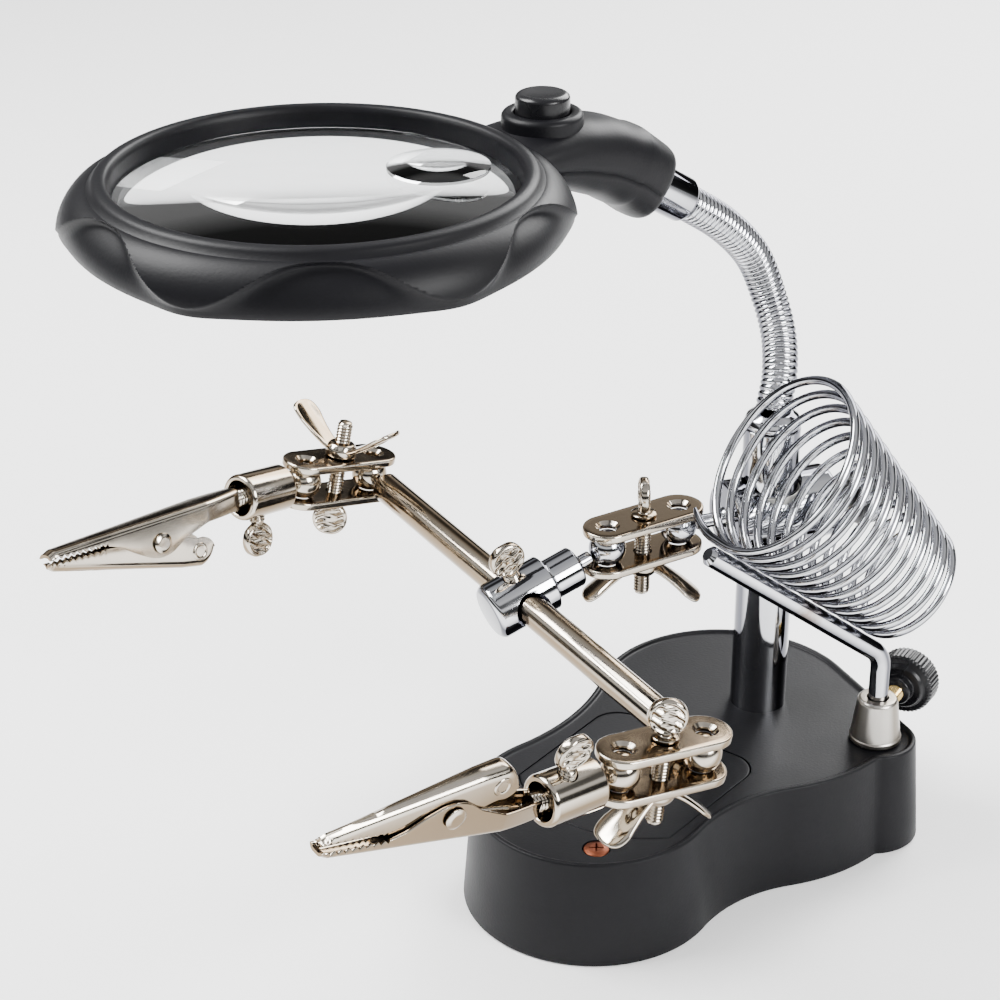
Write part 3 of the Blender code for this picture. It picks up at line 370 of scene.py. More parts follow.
def glass(name, colour, roughness, ior):
    """Clear moulded lens."""
    made = bpy.data.materials.new(name)
    made.use_nodes = True
    shader = made.node_tree.nodes["Principled BSDF"]
    shader.inputs["Base Color"].default_value = (*colour, 1.0)
    shader.inputs["Roughness"].default_value = roughness
    shader.inputs["IOR"].default_value = ior
    shader.inputs["Transmission Weight"].default_value = 1.0
    shader.inputs["Metallic"].default_value = 0.0
    return made


WELD = (0.0221, -0.0175, 0.0676)
# Painted shade colours of the dark reflection band that is painted on the plated finishes.
COOL_PAINTED_SHADE, WARM_PAINTED_SHADE, SOFT_PAINTED_SHADE = (0.16, 0.16, 0.18), (0.36, 0.29, 0.21), (0.50, 0.47, 0.43)
FINISHES = {
    "black": finish("Moulded black", ((0.0028, 0.0028, 0.0036), (0.005, 0.005, 0.0065)), 0.0,
                    (0.42, 0.10, 35.0, 0.25, 1400.0), specular=0.15),
    "gloss black": finish("Polished black", ((0.004, 0.004, 0.005), (0.008, 0.008, 0.009)), 0.0,
                          (0.24, 0.12, 50.0, 0.10, 1400.0), specular=0.28),
    "chrome": finish("Bright chrome", ((0.62, 0.63, 0.66), (0.70, 0.71, 0.74)), 1.0,
                     (0.05, 0.07, 90.0, 0.02, 500.0), shade=COOL_PAINTED_SHADE),
    "nickel": finish("Bright nickel", ((0.50, 0.45, 0.38), (0.62, 0.57, 0.49)), 1.0,
                     (0.10, 0.10, 120.0, 0.05, 700.0), shade=WARM_PAINTED_SHADE),
    "satin nickel": finish("Cast nickel", ((0.46, 0.44, 0.40), (0.56, 0.53, 0.49)), 1.0,
                           (0.28, 0.12, 120.0, 0.25, 900.0), shade=SOFT_PAINTED_SHADE),
    "copper": finish("Coppered steel", ((0.16, 0.045, 0.022), (0.26, 0.085, 0.045)), 1.0,
                     (0.38, 0.15, 300.0, 0.2, 1200.0)),
    "brass": finish("Turned brass", ((0.50, 0.35, 0.13), (0.62, 0.46, 0.20)), 1.0,
                    (0.22, 0.12, 200.0, 0.1, 900.0)),
    "nylon": finish("Nylon", ((0.74, 0.72, 0.66), (0.80, 0.79, 0.74)), 0.0, (0.42, 0.10, 90.0, 0.2, 900.0)),
    "stem": finish("Chromed stem", ((0.66, 0.67, 0.70), (0.22, 0.09, 0.02)), 1.0,
                   (0.06, 0.10, 90.0, 0.03, 500.0), (WELD, 0.0075), COOL_PAINTED_SHADE),
    "lens": glass("Acrylic lens", (0.97, 0.985, 0.99), 0.004, 1.46),
    "lamp": glass("Clear lamp", (0.98, 0.97, 0.93), 0.06, 1.5),
}
print("finishes:", ", ".join(FINISHES))

# %% [markdown]
# The set: a wide pale floor, a soft sky with a darker band near the horizon so that plated parts
# show their edges, and three large soft lights. The camera stands about 65 cm away, a little
# above, looking down at 26.7 degrees.

# %%


BANDS = ((0.02, 0.06), (0.12, 0.02), (0.26, 0.04), (0.34, 0.90), (0.44, 0.95), (0.52, 0.12),
         (0.66, 0.10), (0.74, 0.80))


def set_stage():
    """Floor, sky gradient with dark and bright bands at the sines of elevation in BANDS, and camera."""
    reach = 3.0
    mesh = bpy.data.meshes.new("floor")
    corners = [(-reach, -reach, 0), (reach, -reach, 0), (reach, reach, 0), (-reach, reach, 0)]
    mesh.from_pydata(corners, [], [(0, 1, 2, 3)])
    paper = bpy.data.materials.new("Pale paper")
    paper.use_nodes = True
    paper.node_tree.nodes["Principled BSDF"].inputs["Base Color"].default_value = (0.96, 0.96, 0.96, 1)
    paper.node_tree.nodes["Principled BSDF"].inputs["Roughness"].default_value = 0.7
    paper.node_tree.nodes["Principled BSDF"].inputs["Emission Color"].default_value = (1, 1, 1, 1)
    paper.node_tree.nodes["Principled BSDF"].inputs["Emission Strength"].default_value = 0.17
    mesh.materials.append(paper)
    floor = bpy.data.objects.new("floor", mesh)
    bpy.context.scene.collection.objects.link(floor)
    floor.location.z = -0.0002
    world = bpy.data.worlds.new("Soft sky")
    bpy.context.scene.world = world
    world.use_nodes = True
    nodes, link = world.node_tree.nodes, world.node_tree.links.new
    place = nodes.new("ShaderNodeTexCoord")
    split = nodes.new("ShaderNodeSeparateXYZ")
    link(place.outputs["Generated"], split.inputs[0])
    ramp = nodes.new("ShaderNodeValToRGB")
    ramp.color_ramp.elements[0].position = 0.0
    ramp.color_ramp.elements[0].color = (0.55, 0.55, 0.55, 1)
    ramp.color_ramp.elements[1].position = 1.0
    ramp.color_ramp.elements[1].color = (0.50, 0.50, 0.52, 1)
    for position, shade in BANDS:
        ramp.color_ramp.elements.new(position).color = (shade, shade, shade, 1)
    link(split.outputs["Z"], ramp.inputs["Fac"])
    link(ramp.outputs["Color"], nodes["Background"].inputs["Color"])
    nodes["Background"].inputs["Strength"].default_value = 1.0
    lens = bpy.data.cameras.new("camera")
    lens.lens = 88.56
    lens.sensor_width = 36.0
    camera = bpy.data.objects.new("camera", lens)
    camera.location = (0.2764, -0.4685, 0.3549)
    camera.rotation_euler = (math.radians(63.3), 0.0, math.radians(37.5))
    bpy.context.scene.collection.objects.link(camera)
    bpy.context.scene.camera = camera


def soft_light(name, location, size, power, target=(0.0, -0.03, 0.09)):
    """Square area light aimed at the object."""
    lamp = bpy.data.lights.new(name, "AREA")
    lamp.size = size
    lamp.energy = power
    made = bpy.data.objects.new(name, lamp)
    made.location = location
    back = unit(np.subtract(location, target))
    x = unit(np.cross(UP, back))
    rows = np.stack([x, np.cross(back, x), back])
    made.rotation_euler = Matrix(rows.T.tolist()).to_euler()
    bpy.context.scene.collection.objects.link(made)


set_stage()
soft_light("key", (-0.55, -0.35, 0.85), 0.55, 26.0)
soft_light("side", (0.85, -0.10, 0.55), 0.45, 14.0)
soft_light("back", (-0.10, 0.95, 0.75), 0.70, 24.0)
print("stage, sky, three lights and the camera")

# %% [markdown]
# Where things are. The same driving dimensions as the CAD, in millimetres: the finished pieces
# are drawn from them, so each lies on its node.

# %%
EAR = np.array((33.3, 1.7, 0.0))
BASE_HEIGHT, BASE_DRAFT, LIP = 27.2, 2.2, 0.8
CLAMP = np.array((0.0, 0.0, 80.8))
ARM = unit((math.cos(math.radians(239.2)), math.sin(math.radians(239.2)), 0.0))
BALL, SHOULDER, SPACING = 4.5, 7.6, 20.9
PLATE_IN, PLATE_OUT, SCREW = 3.8, 5.8, 2.0
FIRST = CLAMP + ARM * 24.4
SECOND = FIRST + unit((-0.344, -0.939, 0.0)) * SPACING
ROD_AXIS = unit((-0.406, -0.863, -0.302))
BORE = SECOND + ROD_AXIS * 25.2
ROD = unit((0.9445, -0.319, -0.0782))
LEFT_REACH, FRONT_REACH = 67.9, 70.9
LEFT_BALL, FRONT_BALL = BORE - ROD * LEFT_REACH, BORE + ROD * FRONT_REACH
LEFT_SOCKET = LEFT_BALL + unit((-0.217, -0.955, 0.200)) * SPACING
FRONT_SOCKET = FRONT_BALL + unit((-0.383, -0.920, 0.086)) * SPACING
LEFT_NORMAL, FRONT_NORMAL = np.array((-0.082, -0.187, -0.979)), np.array((0.060, 0.069, 0.996))
print("rod from", LEFT_BALL.round(1), "to", FRONT_BALL.round(1))

# %% [markdown]
# The base is one moulding. Its outline is a chain of arcs: two lobes, a waist on each side and a
# small ear. Rings between outlines of different growth make the drafted wall, the rounded rim and
# the thin lip round the top.

# %%
FRONT_LOBE, BACK_LOBE = np.array((-7.0, -62.9)), np.array((-7.0, -2.9))
FRONT_R, BACK_R, FLANK_R, EAR_R, FILLET_R, WAIST_L, WAIST_R = 28.8, 33.0, 46.0, 10.0, 4.0, 60.0, 40.0


def waist(first, first_radius, second, second_radius, radius, side):
    """Centre of the arc of that radius that touches two circles, on one side of their line."""
    line = second - first
    length = np.hypot(*line)
    along = (length**2 + (first_radius + radius) ** 2 - (second_radius + radius) ** 2) / (2 * length)
    across = math.sqrt((first_radius + radius) ** 2 - along**2)
    return first + line / length * along + np.array((-line[1], line[0])) / length * side * across


def base_outline(grow, density=6):
    """Chain of arcs, anticlockwise: each arc is centre + (R + b grow)(cos a, sin a), b its bulge."""
    towards = lambda c, p: math.atan2(p[1] - c[1], p[0] - c[0])
    left = waist(FRONT_LOBE, FRONT_R, BACK_LOBE, BACK_R, WAIST_L, 1)
    right = waist(FRONT_LOBE, FRONT_R, BACK_LOBE, FLANK_R, WAIST_R, -1)
    notch = waist(BACK_LOBE, FLANK_R, EAR[:2], EAR_R, FILLET_R, -1)
    reach = EAR[:2] - BACK_LOBE
    touch = math.atan2(reach[1], reach[0]) + math.acos((BACK_R - EAR_R) / np.hypot(*reach))
    arcs = (
        (FRONT_LOBE, FRONT_R, towards(FRONT_LOBE, left), towards(FRONT_LOBE, right), 1, 16),
        (right, WAIST_R, towards(right, FRONT_LOBE), towards(right, BACK_LOBE), -1, 6),
        (BACK_LOBE, FLANK_R, towards(BACK_LOBE, right), towards(BACK_LOBE, notch), 1, 5),
        (notch, FILLET_R, towards(notch, BACK_LOBE), towards(notch, EAR[:2]), -1, 4),
        (EAR[:2], EAR_R, towards(EAR[:2], notch), touch, 1, 8),
        (BACK_LOBE, BACK_R, touch, towards(BACK_LOBE, left), 1, 15),
        (left, WAIST_L, towards(left, BACK_LOBE), towards(left, FRONT_LOBE), -1, 6),
    )
    parts = []
    for centre, radius, start, end, bulge, count in arcs:
        sweep = (end - start) * bulge % TURN * bulge
        a = np.linspace(start, start + sweep, (count - 1) * density + 1)[1:]
        parts.append(centre + (radius + bulge * grow) * np.stack([np.cos(a), np.sin(a)], 1))
    return np.concatenate(parts)


def rings(outline, profile):
    """Stack of outlines: outline(grow) at height z for each (grow, z) of the profile."""
    flat = [outline(grow) for grow, _ in profile]
    return np.stack([np.column_stack([f, np.full(len(f), z)]) for f, (_, z) in zip(flat, profile)])


TOP = BASE_HEIGHT - LIP
rim = rounded([(1.2, 0.0), (BASE_DRAFT, 0.0), (0.15, BASE_HEIGHT - 0.2), (-1.0, BASE_HEIGHT),
               (-1.5, TOP), (-2.6, TOP)], 0.9, 5)
profile = np.vstack([[(-3.4, 0.0), (-2.8, 0.0), (-2.7, 0.5), (-2.3, 0.5), (-2.2, 0.0)], rim])
base = piece("base_moulding", rings(base_outline, profile), "black", "base",
             ("base_shell", "base_floor", "ballast"))

COVER, COVER_SCREW = np.array((-5.0, -50.0)), (6.0, -79.4)


def cover_outline(grow, steps=24):
    """Cover plate outline: a bowed front edge, two straight sides and two rounded back corners."""
    half, back, front = 22.3 + grow, COVER[1] + 24.0 + grow, COVER[1] - 16.0
    corner = 7.0

    def arc(x, y, radius, first, last):
        turn = np.linspace(first, last, steps)
        return np.array((x, y)) + radius * np.stack([np.cos(turn), np.sin(turn)], 1)

    bow = arc(COVER[0], front + 21.0, 30.0 + grow, math.radians(-137), math.radians(-43))
    right = arc(COVER[0] + half - corner, back - corner, corner, 0.0, math.pi / 2)
    left = arc(COVER[0] - half + corner, back - corner, corner, math.pi / 2, math.pi)
    return np.concatenate([bow, right, left])


cut(base, "cover recess", rings(cover_outline, [(0.3, TOP - 2.1), (0.3, TOP + 3)]))
cut(base, "cover screw recess", at(lathe([(3.4, TOP - 1.5), (3.4, TOP + 4)], 32), (*COVER_SCREW, 0.0)))
edge = rounded([(-0.6, TOP - 1.8), (0.0, TOP - 1.8), (0.0, TOP), (-0.8, TOP)], 0.35, 4)
piece("cover_plate", rings(cover_outline, edge), "black", "base", ("battery_cover",))
head = rounded([(0.4, -1.2), (1.2, -1.2), (3.0, -0.5), (3.0, -0.1), (1.8, 0.3), (0.3, 0.3)], 0.25, 3)
screw = piece("cover_screw", at(lathe(head, 48), (*COVER_SCREW, TOP)), "copper", "base",
              ("battery_cover_screw",))
for turn_on in (0.6, 0.6 + TURN / 4):
    slot = [[(-1.7, -0.24, z), (1.7, -0.24, z), (1.7, 0.24, z), (-1.7, 0.24, z)] for z in (-0.7, 0.6)]
    along = (math.cos(turn_on), math.sin(turn_on), 0)
    cut(screw, f"cross {turn_on:.1f}", at(np.array(slot), (*COVER_SCREW, TOP), UP, along))
print("base, cover and its cross-head screw")

# %% [markdown]
# Threads and thumbscrews. A thread is a surface over (height, angle): the radius drops by a
# triangle wave of height/pitch - angle/turn, so the crests climb as a helix. The thumbscrew's
# paddle is the same bar flattened: a superellipse whose width follows a circle and whose faces
# carry slanting grips.

# %%
SIDES = 56


def thread_rows(radius, low, high, pitch=0.8, depth=0.28):
    """Rows of a threaded bar along Z: r = R - depth * |2 frac(z/pitch - a/turn) - 1|."""
    z = np.arange(low, high, pitch / 8)[:, None]
    a = angles(SIDES)[None]
    wave = np.abs(2 * ((z / pitch - a / TURN) % 1.0) - 1)
    fade = np.clip((z - low) / 0.8, 0, 1)
    r = radius - depth * wave - 0.35 * (1 - fade)
    return np.stack([r * np.cos(a), r * np.sin(a), z + 0 * a], -1)


def paddle_rows(centre, radius=4.45, thick=1.45, grip=0.65):
    """Rows of a flat round paddle: half width R sqrt(1 - u^2), half thickness T, cross-section a
    superellipse, with slanting grooves where the faces are flat."""
    u = np.sin(np.linspace(-1.15, math.pi / 2 - 0.03, 90))
    a = angles(SIDES)
    wide = radius * np.sqrt(1 - u**2)
    flat = thick * (1 - np.abs(u) ** 6) ** 0.5
    blend = np.clip((u + 1.0) / 0.45, 0, 1)[:, None]
    flat = np.where(u < -0.4, np.maximum(flat, 1.1), flat)[:, None]
    power = 1 - 0.5 * blend
    c, s = np.cos(a)[None], np.sin(a)[None]
    x = np.maximum(wide, 1.3 * (u < 0))[:, None] * np.sign(c) * np.abs(c) ** power
    y = np.minimum(flat, np.maximum(wide, 1.0)[:, None]) * np.sign(s) * np.abs(s) ** power
    z = centre + u[:, None] * radius + 0 * x
    groove = np.clip(np.abs(((0.6 * x + z - centre) / 2.35) % 1.0 - 0.5) * 4.0 - 0.7, 0, 1)
    inner = np.clip((0.86 * radius - np.hypot(x, z - centre)) / 0.6, 0, 1) * (np.abs(s) > 0.2)
    return np.stack([x, y - np.sign(y) * grip * (1 - groove) * inner, z], -1)


def bar_rows(*stations):
    """Plain rows of (radius, z) with the same number of sides as threads and paddles."""
    return lathe(np.array(stations), SIDES)


def thumbscrew(name, origin, along, across, tail, centre, flange, body, node):
    """Threaded shank, optional flange, neck and paddle as one surface."""
    low = centre - 4.5
    parts = [thread_rows(SCREW - 0.02, tail, (flange or low) - 0.1)]
    if flange:
        parts.append(bar_rows((1.95, flange), (2.9, flange), (3.05, flange + 0.12), (3.05, flange + 0.42),
                              (2.85, flange + 0.58), (1.7, flange + 0.62)))
    parts.append(bar_rows((1.7, low + 0.15), (1.55, low + 0.3)))
    rows = np.concatenate(parts + [paddle_rows(centre)])
    return piece(name, at(rows, origin, along, across), "nickel", body, (node,), sharp=50)


def wing(side):
    """Half of a wing nut: a bent petal of sheet. Along it x = 14.2 u, it lifts more and more towards
    the tip, and its half width flares from the hub to three quarters out and ends blunt."""
    u = np.linspace(0.0, 1.0, 40)
    wide = np.where(u < 0.72, 2.3 + 2.5 * (u / 0.72) ** 1.4,
                    4.8 * (1 - np.clip((u - 0.72) / 0.282, 0, 1) ** 3) ** 0.45)
    lift = 1.7 + 8.4 * np.clip((u - 0.2) / 0.8, 0, 1) ** 1.25
    curl = np.gradient(lift, u * 14.2)
    normal = unit(np.stack([-curl, np.ones_like(curl)], 1)) * 0.62
    a = angles(28)[None]
    power = 0.35
    v = np.sign(np.cos(a)) * np.abs(np.cos(a)) ** power
    t = np.sign(np.sin(a)) * np.abs(np.sin(a)) ** 0.8
    t = t * np.clip((wide[:, None] + 0.05) / 1.2, 0.25, 1)
    dish = 0.9 * v**2 * np.clip(wide / 4.8, 0, 1)[:, None] ** 2
    x = u[:, None] * 14.2 + t * normal[:, :1]
    z = lift[:, None] + t * normal[:, 1:] + dish * (u[:, None] > 0.1)
    return np.stack([side * x, wide[:, None] * v, z], -1)


def wing_nut(name, origin, along, wings, body, node):
    """Hub with a bore and two wings."""
    section = [(2.1, 3.3), (2.1, 0.05), (3.9, 0.05), (3.9, 2.0), (3.1, 3.35), (2.1, 3.35)]
    hub = lathe(rounded(section, 0.4, 4), 48)
    grids = [hub, wing(1), wing(-1)]
    return piece(name, [at(g, origin, along, wings) for g in grids], "nickel", body, (node,), sharp=50)


# %% [markdown]
# Ball plates: stadium-shaped stampings pressed over a pair of balls. A rounded edge goes round the
# outline, each ball hole is coined into a shallow dish, and the thumbscrew goes through the middle.

# %%


def stadium(grow, radius=6.0, steps=40):
    """Outline of two half circles round (0, 0) and (SPACING, 0)."""
    a = np.linspace(-math.pi / 2, math.pi / 2, steps)
    ends = [np.stack([np.cos(t), np.sin(t)], 1) * (radius + grow) for t in (a, a + math.pi)]
    return np.concatenate([ends[0] + (SPACING, 0), ends[1]])


HOLE = [(3.0, -1), (2.55, 0.2), (2.1, 0.9), (2.1, 1.3), (3.1, 2.15), (3.2, 3)]


def plate(name, ball, outwards, along, body, node):
    """One plate, its inner face PLATE_IN from the balls' plane."""
    edge_profile = rounded([(-1.5, 0.0), (0.0, 0.0), (0.0, 2.0), (-1.5, 2.0)], 0.55, 5)
    flat = at(rings(stadium, edge_profile), ball + unit(outwards) * PLATE_IN, outwards, along)
    made = piece(name, flat, "nickel", body, (node,))
    for k, (x, profile) in enumerate((
        (0.0, HOLE),
        (SPACING, HOLE),
        (SPACING / 2, [(2.3, -1), (2.3, 3)]),
    )):
        spot = ball + unit(outwards) * PLATE_IN + unit(along) * x
        cut(made, f"{name} hole {k}", at(lathe(profile, 40), spot, outwards, along))
    return made


def ball(name, centre, axis, finish_name, body, node, radius=BALL - 0.01):
    """Plain ball: r sin t, -r cos t turned round its stem's axis."""
    t = np.linspace(0.02, math.pi - 0.02, 40)
    turned = lathe(np.stack([radius * np.sin(t), -radius * np.cos(t)], 1), 48)
    return piece(name, at(turned, centre, axis, UP), finish_name, body, (node,))


def plate_joint(side, first, second, normal, wings, paddle):
    """Two plates, thumbscrew and wing nut of one ball joint."""
    centre, along = (first + second) / 2, unit(second - first)
    z = unit(normal)
    plate(f"{side}_plate_a", first, z, along, f"{side}_plates", f"{side}_plate_upper")
    plate(f"{side}_plate_b", first, -z, along, f"{side}_plates", f"{side}_plate_lower")
    thumbscrew(f"{side}_plate_thumbscrew", centre, z, paddle, -15.0, PLATE_OUT + 0.3 + 5.1, PLATE_OUT + 0.32,
               f"{side}_thumbscrew", f"{side}_screw")
    wing_nut(f"{side}_plate_wing_nut", centre - z * (PLATE_OUT + 0.3), -z, wings, f"{side}_nut",
             f"{side}_wing_nut")


plate_joint("middle", FIRST, SECOND, UP, (0.79, 0.61, 0.0), (0.61, -0.79, 0.0))
plate_joint("left", LEFT_BALL, LEFT_SOCKET, LEFT_NORMAL, (0.98, 0.19, 0.0), (0.79, 0.61, 0.0))
plate_joint("front", FRONT_BALL, FRONT_SOCKET, FRONT_NORMAL, (0.31, 0.95, 0.0), (0.79, 0.61, 0.0))
LEFT_DIR, FRONT_DIR = unit((-0.066, -0.986, 0.155)), unit((-0.248, -0.967, 0.063))
ball("arm_ball", FIRST, ARM, "chrome", "arm_clamp_ball", "post_clamp_ball")
ball("rod_clamp_stem_ball", SECOND, ROD_AXIS, "chrome", "rod_clamp_pivot", "rod_clamp_ball")
ball("left_end_of_rod", LEFT_BALL, ROD, "nickel", "left_end_ball", "left_rod_ball")
ball("front_end_of_rod", FRONT_BALL, ROD, "nickel", "front_end_ball", "front_rod_ball")
ball("left_clip_stem_ball", LEFT_SOCKET, LEFT_DIR, "nickel", "left_clip_ball", "left_socket_ball")
ball("front_clip_stem_ball", FRONT_SOCKET, FRONT_DIR, "nickel", "front_clip_ball", "front_socket_ball")
print("three ball joints: plates, thumbscrews, wing nuts and balls")

# %% [markdown]
# Post, arm and rod. All are turned bars, so each is a profile with broken edges. The clamps are
# cross-bored with a Boolean, and a small hollow fillet leads from each stem to its ball.

# %%
post = rounded([(5.8, 2.3), (7.0, 2.3), (7.0, 103.6), (5.8, 103.6)], 0.35, 4)
piece("post_tube", lathe(np.vstack([post, post[:1]])[:-1], 96), "chrome", "base", ("post",), closed=True)
liner = rounded([(7.3, -6.5), (7.6, -6.5), (7.6, 6.5), (7.3, 6.5)], 0.2, 3)
piece("clamp_sleeve_liner", at(lathe(liner, 96), CLAMP), "nylon", "clamp_liner", ("post_clamp_liner",),
      closed=True)
tip = 24.4 - BALL - 0.3
shape = [(0.5, -16.0), (8.2, -16.0), (9.2, -15.2), (9.2, 11.2), (8.4, 12.0), (2.6, 12.0), (1.8, 13.0),
         (1.75, tip - 1.0), (1.75, tip), (0.4, tip)]
turned = at(lathe(rounded(shape, 0.7, 5), 80), CLAMP, ARM, UP)
clamp = piece("arm_clamp_body", turned, "chrome", "arm_clamp", ("post_clamp",))
cut(clamp, "post bore", lathe([(7.9, 60.0), (7.9, 100.0)], 80))
cut(clamp, "stud bore", at(lathe([(2.5, -20.0), (2.5, -4.0)], 32), CLAMP, ARM, UP))


def knob(name, origin, direction, body, nodes):
    """Black knob with a stepped boss and a grip of fine flutes: r = R - 0.32 (1 - |cos 22 a|)."""
    outline = rounded([(3.3, 0.0), (3.6, 0.3), (3.6, 2.5), (5.5, 2.6), (6.0, 3.6), (7.5, 3.9), (8.0, 4.4),
                       (8.0, 9.4), (7.3, 10.0), (5.9, 10.0), (5.5, 9.7), (0.3, 9.75)], 0.35, 4)
    grid = lathe(outline, 220)
    outer = np.clip((outline[:, 0] - 7.2) / 0.5, 0, 1)[:, None] * np.ones((1, 220))
    flute = 1 - 0.045 * (1 - np.abs(np.cos(22 * angles(220))))[None] * outer
    grid[..., :2] *= flute[..., None]
    return piece(name, at(grid, origin, direction, UP), "gloss black", body, nodes, sharp=60)


def stud(name, origin, direction, low, high, body, node):
    """Brass threaded stud."""
    rows = thread_rows(2.18, low, high, 0.75, 0.3)
    return piece(name, at(rows, origin, direction, UP), "brass", body, (node,), sharp=60)


BACK = unit((-0.12, 0.99, 0.0))
SIDE_SCREW = EAR + UP * 33.5
knob("arm_clamp_grip", CLAMP - ARM * 19.9, -ARM, "arm_clamp_thumbscrew", ("post_clamp_knob",))
stud("arm_clamp_stud", CLAMP, -ARM, 7.92, 19.6, "arm_clamp_thumbscrew", "post_clamp_stud")
knob("ferrule_grip", SIDE_SCREW + BACK * 12.3, BACK, "ferrule_thumbscrew", ("ferrule_knob",))
stud("ferrule_screw_stud", SIDE_SCREW, BACK, 2.82, 12.0, "ferrule_thumbscrew", "ferrule_stud")

start = BALL + 0.3 - 25.2
shape = [(0.4, start), (1.75, start), (1.75, start + 3.2), (2.4, start + 3.9), (4.4, start + 3.95),
         (5.0, start + 4.5), (5.0, -9.0), (5.4, -8.1), (6.9, -8.1), (6.9, 7.1), (5.9, 8.1), (0.4, 8.1)]
turned = at(lathe(rounded(shape, 0.6, 5), 72), BORE, ROD_AXIS, UP)
clamp = piece("rod_clamp_turned", turned, "chrome", "rod_clamp_body", ("rod_clamp",))
cut(clamp, "rod bore", at(lathe([(4.5, -12.0), (4.5, 12.0)], 64), BORE, ROD, UP))
LIFT = unit(np.cross(ROD_AXIS, ROD))
cut(clamp, "screw bore", at(lathe([(2.3, 3.0), (2.3, 12.0)], 32), BORE, LIFT, ROD_AXIS))
thumbscrew("rod_clamp_thumbscrew", BORE, LIFT, ROD_AXIS, 4.12, 12.4, None, "rod_clamp_thumbscrew",
           "rod_clamp_screw")
low, high = BALL + 0.3 - LEFT_REACH, FRONT_REACH - BALL - 0.3
left_shoulder, front_shoulder = SHOULDER - LEFT_REACH, FRONT_REACH - SHOULDER
shape = [(0.4, low), (1.75, low), (1.75, left_shoulder), (3.3, left_shoulder), (3.8, left_shoulder + 0.5),
         (3.8, front_shoulder - 0.5), (3.3, front_shoulder), (1.75, front_shoulder), (1.75, high),
         (0.4, high)]
piece("cross_bar", at(lathe(rounded(shape, 0.3, 4), 64), BORE, ROD, UP), "nickel", "rod", ("cross_rod",))
print("post, clamps, knobs and rod")

# %% [markdown]
# Sockets and spring clips. A clip jaw is a sheet channel: at each station along it the section is
# a U whose half width, spine height and free edge change with x. The free edges carry saw teeth
# near the tip. The moving jaw is the same channel turned over, narrower by the sheet.

# %%


def channel(x, half, spine, free, sheet=0.7, corner=0.9):
    """Closed U section at each x. Round the loop: y = s (half - inset) and z = spine + mix (free -
    spine) + offset, with mix 1 on the free edges and 0 on the spine."""
    sign = np.sign(free - spine).mean() or 1.0
    a = np.linspace(0, math.pi / 2, 6)
    out_y, out_z = corner * (1 - np.cos(a)), corner * (1 - np.sin(a))
    small = corner - sheet
    in_y, in_z = small * (1 - np.cos(a)) + sheet, small * (1 - np.sin(a)) + sheet
    bevel = 0.12
    inset = np.concatenate([[bevel, 0], out_y, out_y[::-1], [0, bevel],
                            [sheet - bevel, sheet], in_y, in_y[::-1], [sheet, sheet - bevel]])
    offset = np.concatenate([[0, -0.1], out_z, out_z[::-1], [-0.1, 0],
                             [0, -0.1], in_z, in_z[::-1], [-0.1, 0]])
    mix = np.concatenate([[1, 1], np.zeros(12), [1, 1], [1, 1], np.zeros(12), [1, 1]])
    side = np.concatenate([-np.ones(8), np.ones(8), np.ones(8), -np.ones(8)])
    inset = np.minimum(inset[None], half[:, None] - 0.25)
    y = side[None] * (half[:, None] - inset)
    span = (free - spine)[:, None]
    z = spine[:, None] + mix[None] * span + sign * np.minimum(offset[None], np.abs(span) * 0.8 + 0.05)
    return np.stack([x[:, None] + 0 * y, y, z], -1)


def clip_half(x):
    """Half the outer width of the clip, tapering to its tip."""
    return 4.6 - 2.4 * x / 58.0


def smooth_curve(x, knots):
    """Curve through (x, z) knots, rounded by averaging nearby values."""
    kx, kz = np.array(knots, float).T
    fine = np.linspace(kx[0], kx[-1], 1200)
    values = np.interp(fine, kx, kz)
    width = 31
    padded = np.pad(values, width // 2, mode="edge")
    return np.interp(x, fine, np.convolve(padded, np.ones(width) / width, "valid"))


def fixed_jaw(name, place, body, node):
    """Lower channel with ears at the rivet, teeth near the tip and a threaded tail."""
    x = np.linspace(2.0, 57.9, 340)
    spine = np.interp(x, [2, 56.0, 58], [-2.95, -0.7, 0.15])
    free = smooth_curve(x, [(2, 2.2), (13, 2.4), (20, 4.8), (24, 7.2), (27, 7.8), (30, 7.3), (34, 5.4),
                            (38, 2.9), (42, 1.6), (58, 1.3)])
    teeth = np.abs(((x - 42) / 1.7) % 1.0 - 0.5) * 1.7
    free = free - teeth * ((x > 42) & (x < 57))
    half = clip_half(x) - 2.0 * np.clip((13.0 - x) / 11.0, 0, 1) ** 1.3
    grid = channel(x, half, spine, free, corner=1.5)
    tail = at(thread_rows(2.15, -9.0, 3.2, 0.9, 0.3), (0, 0, 0), (1, 0, 0), UP)
    return piece(name, [place(grid), place(tail)], "nickel", body, (node,), sharp=45)


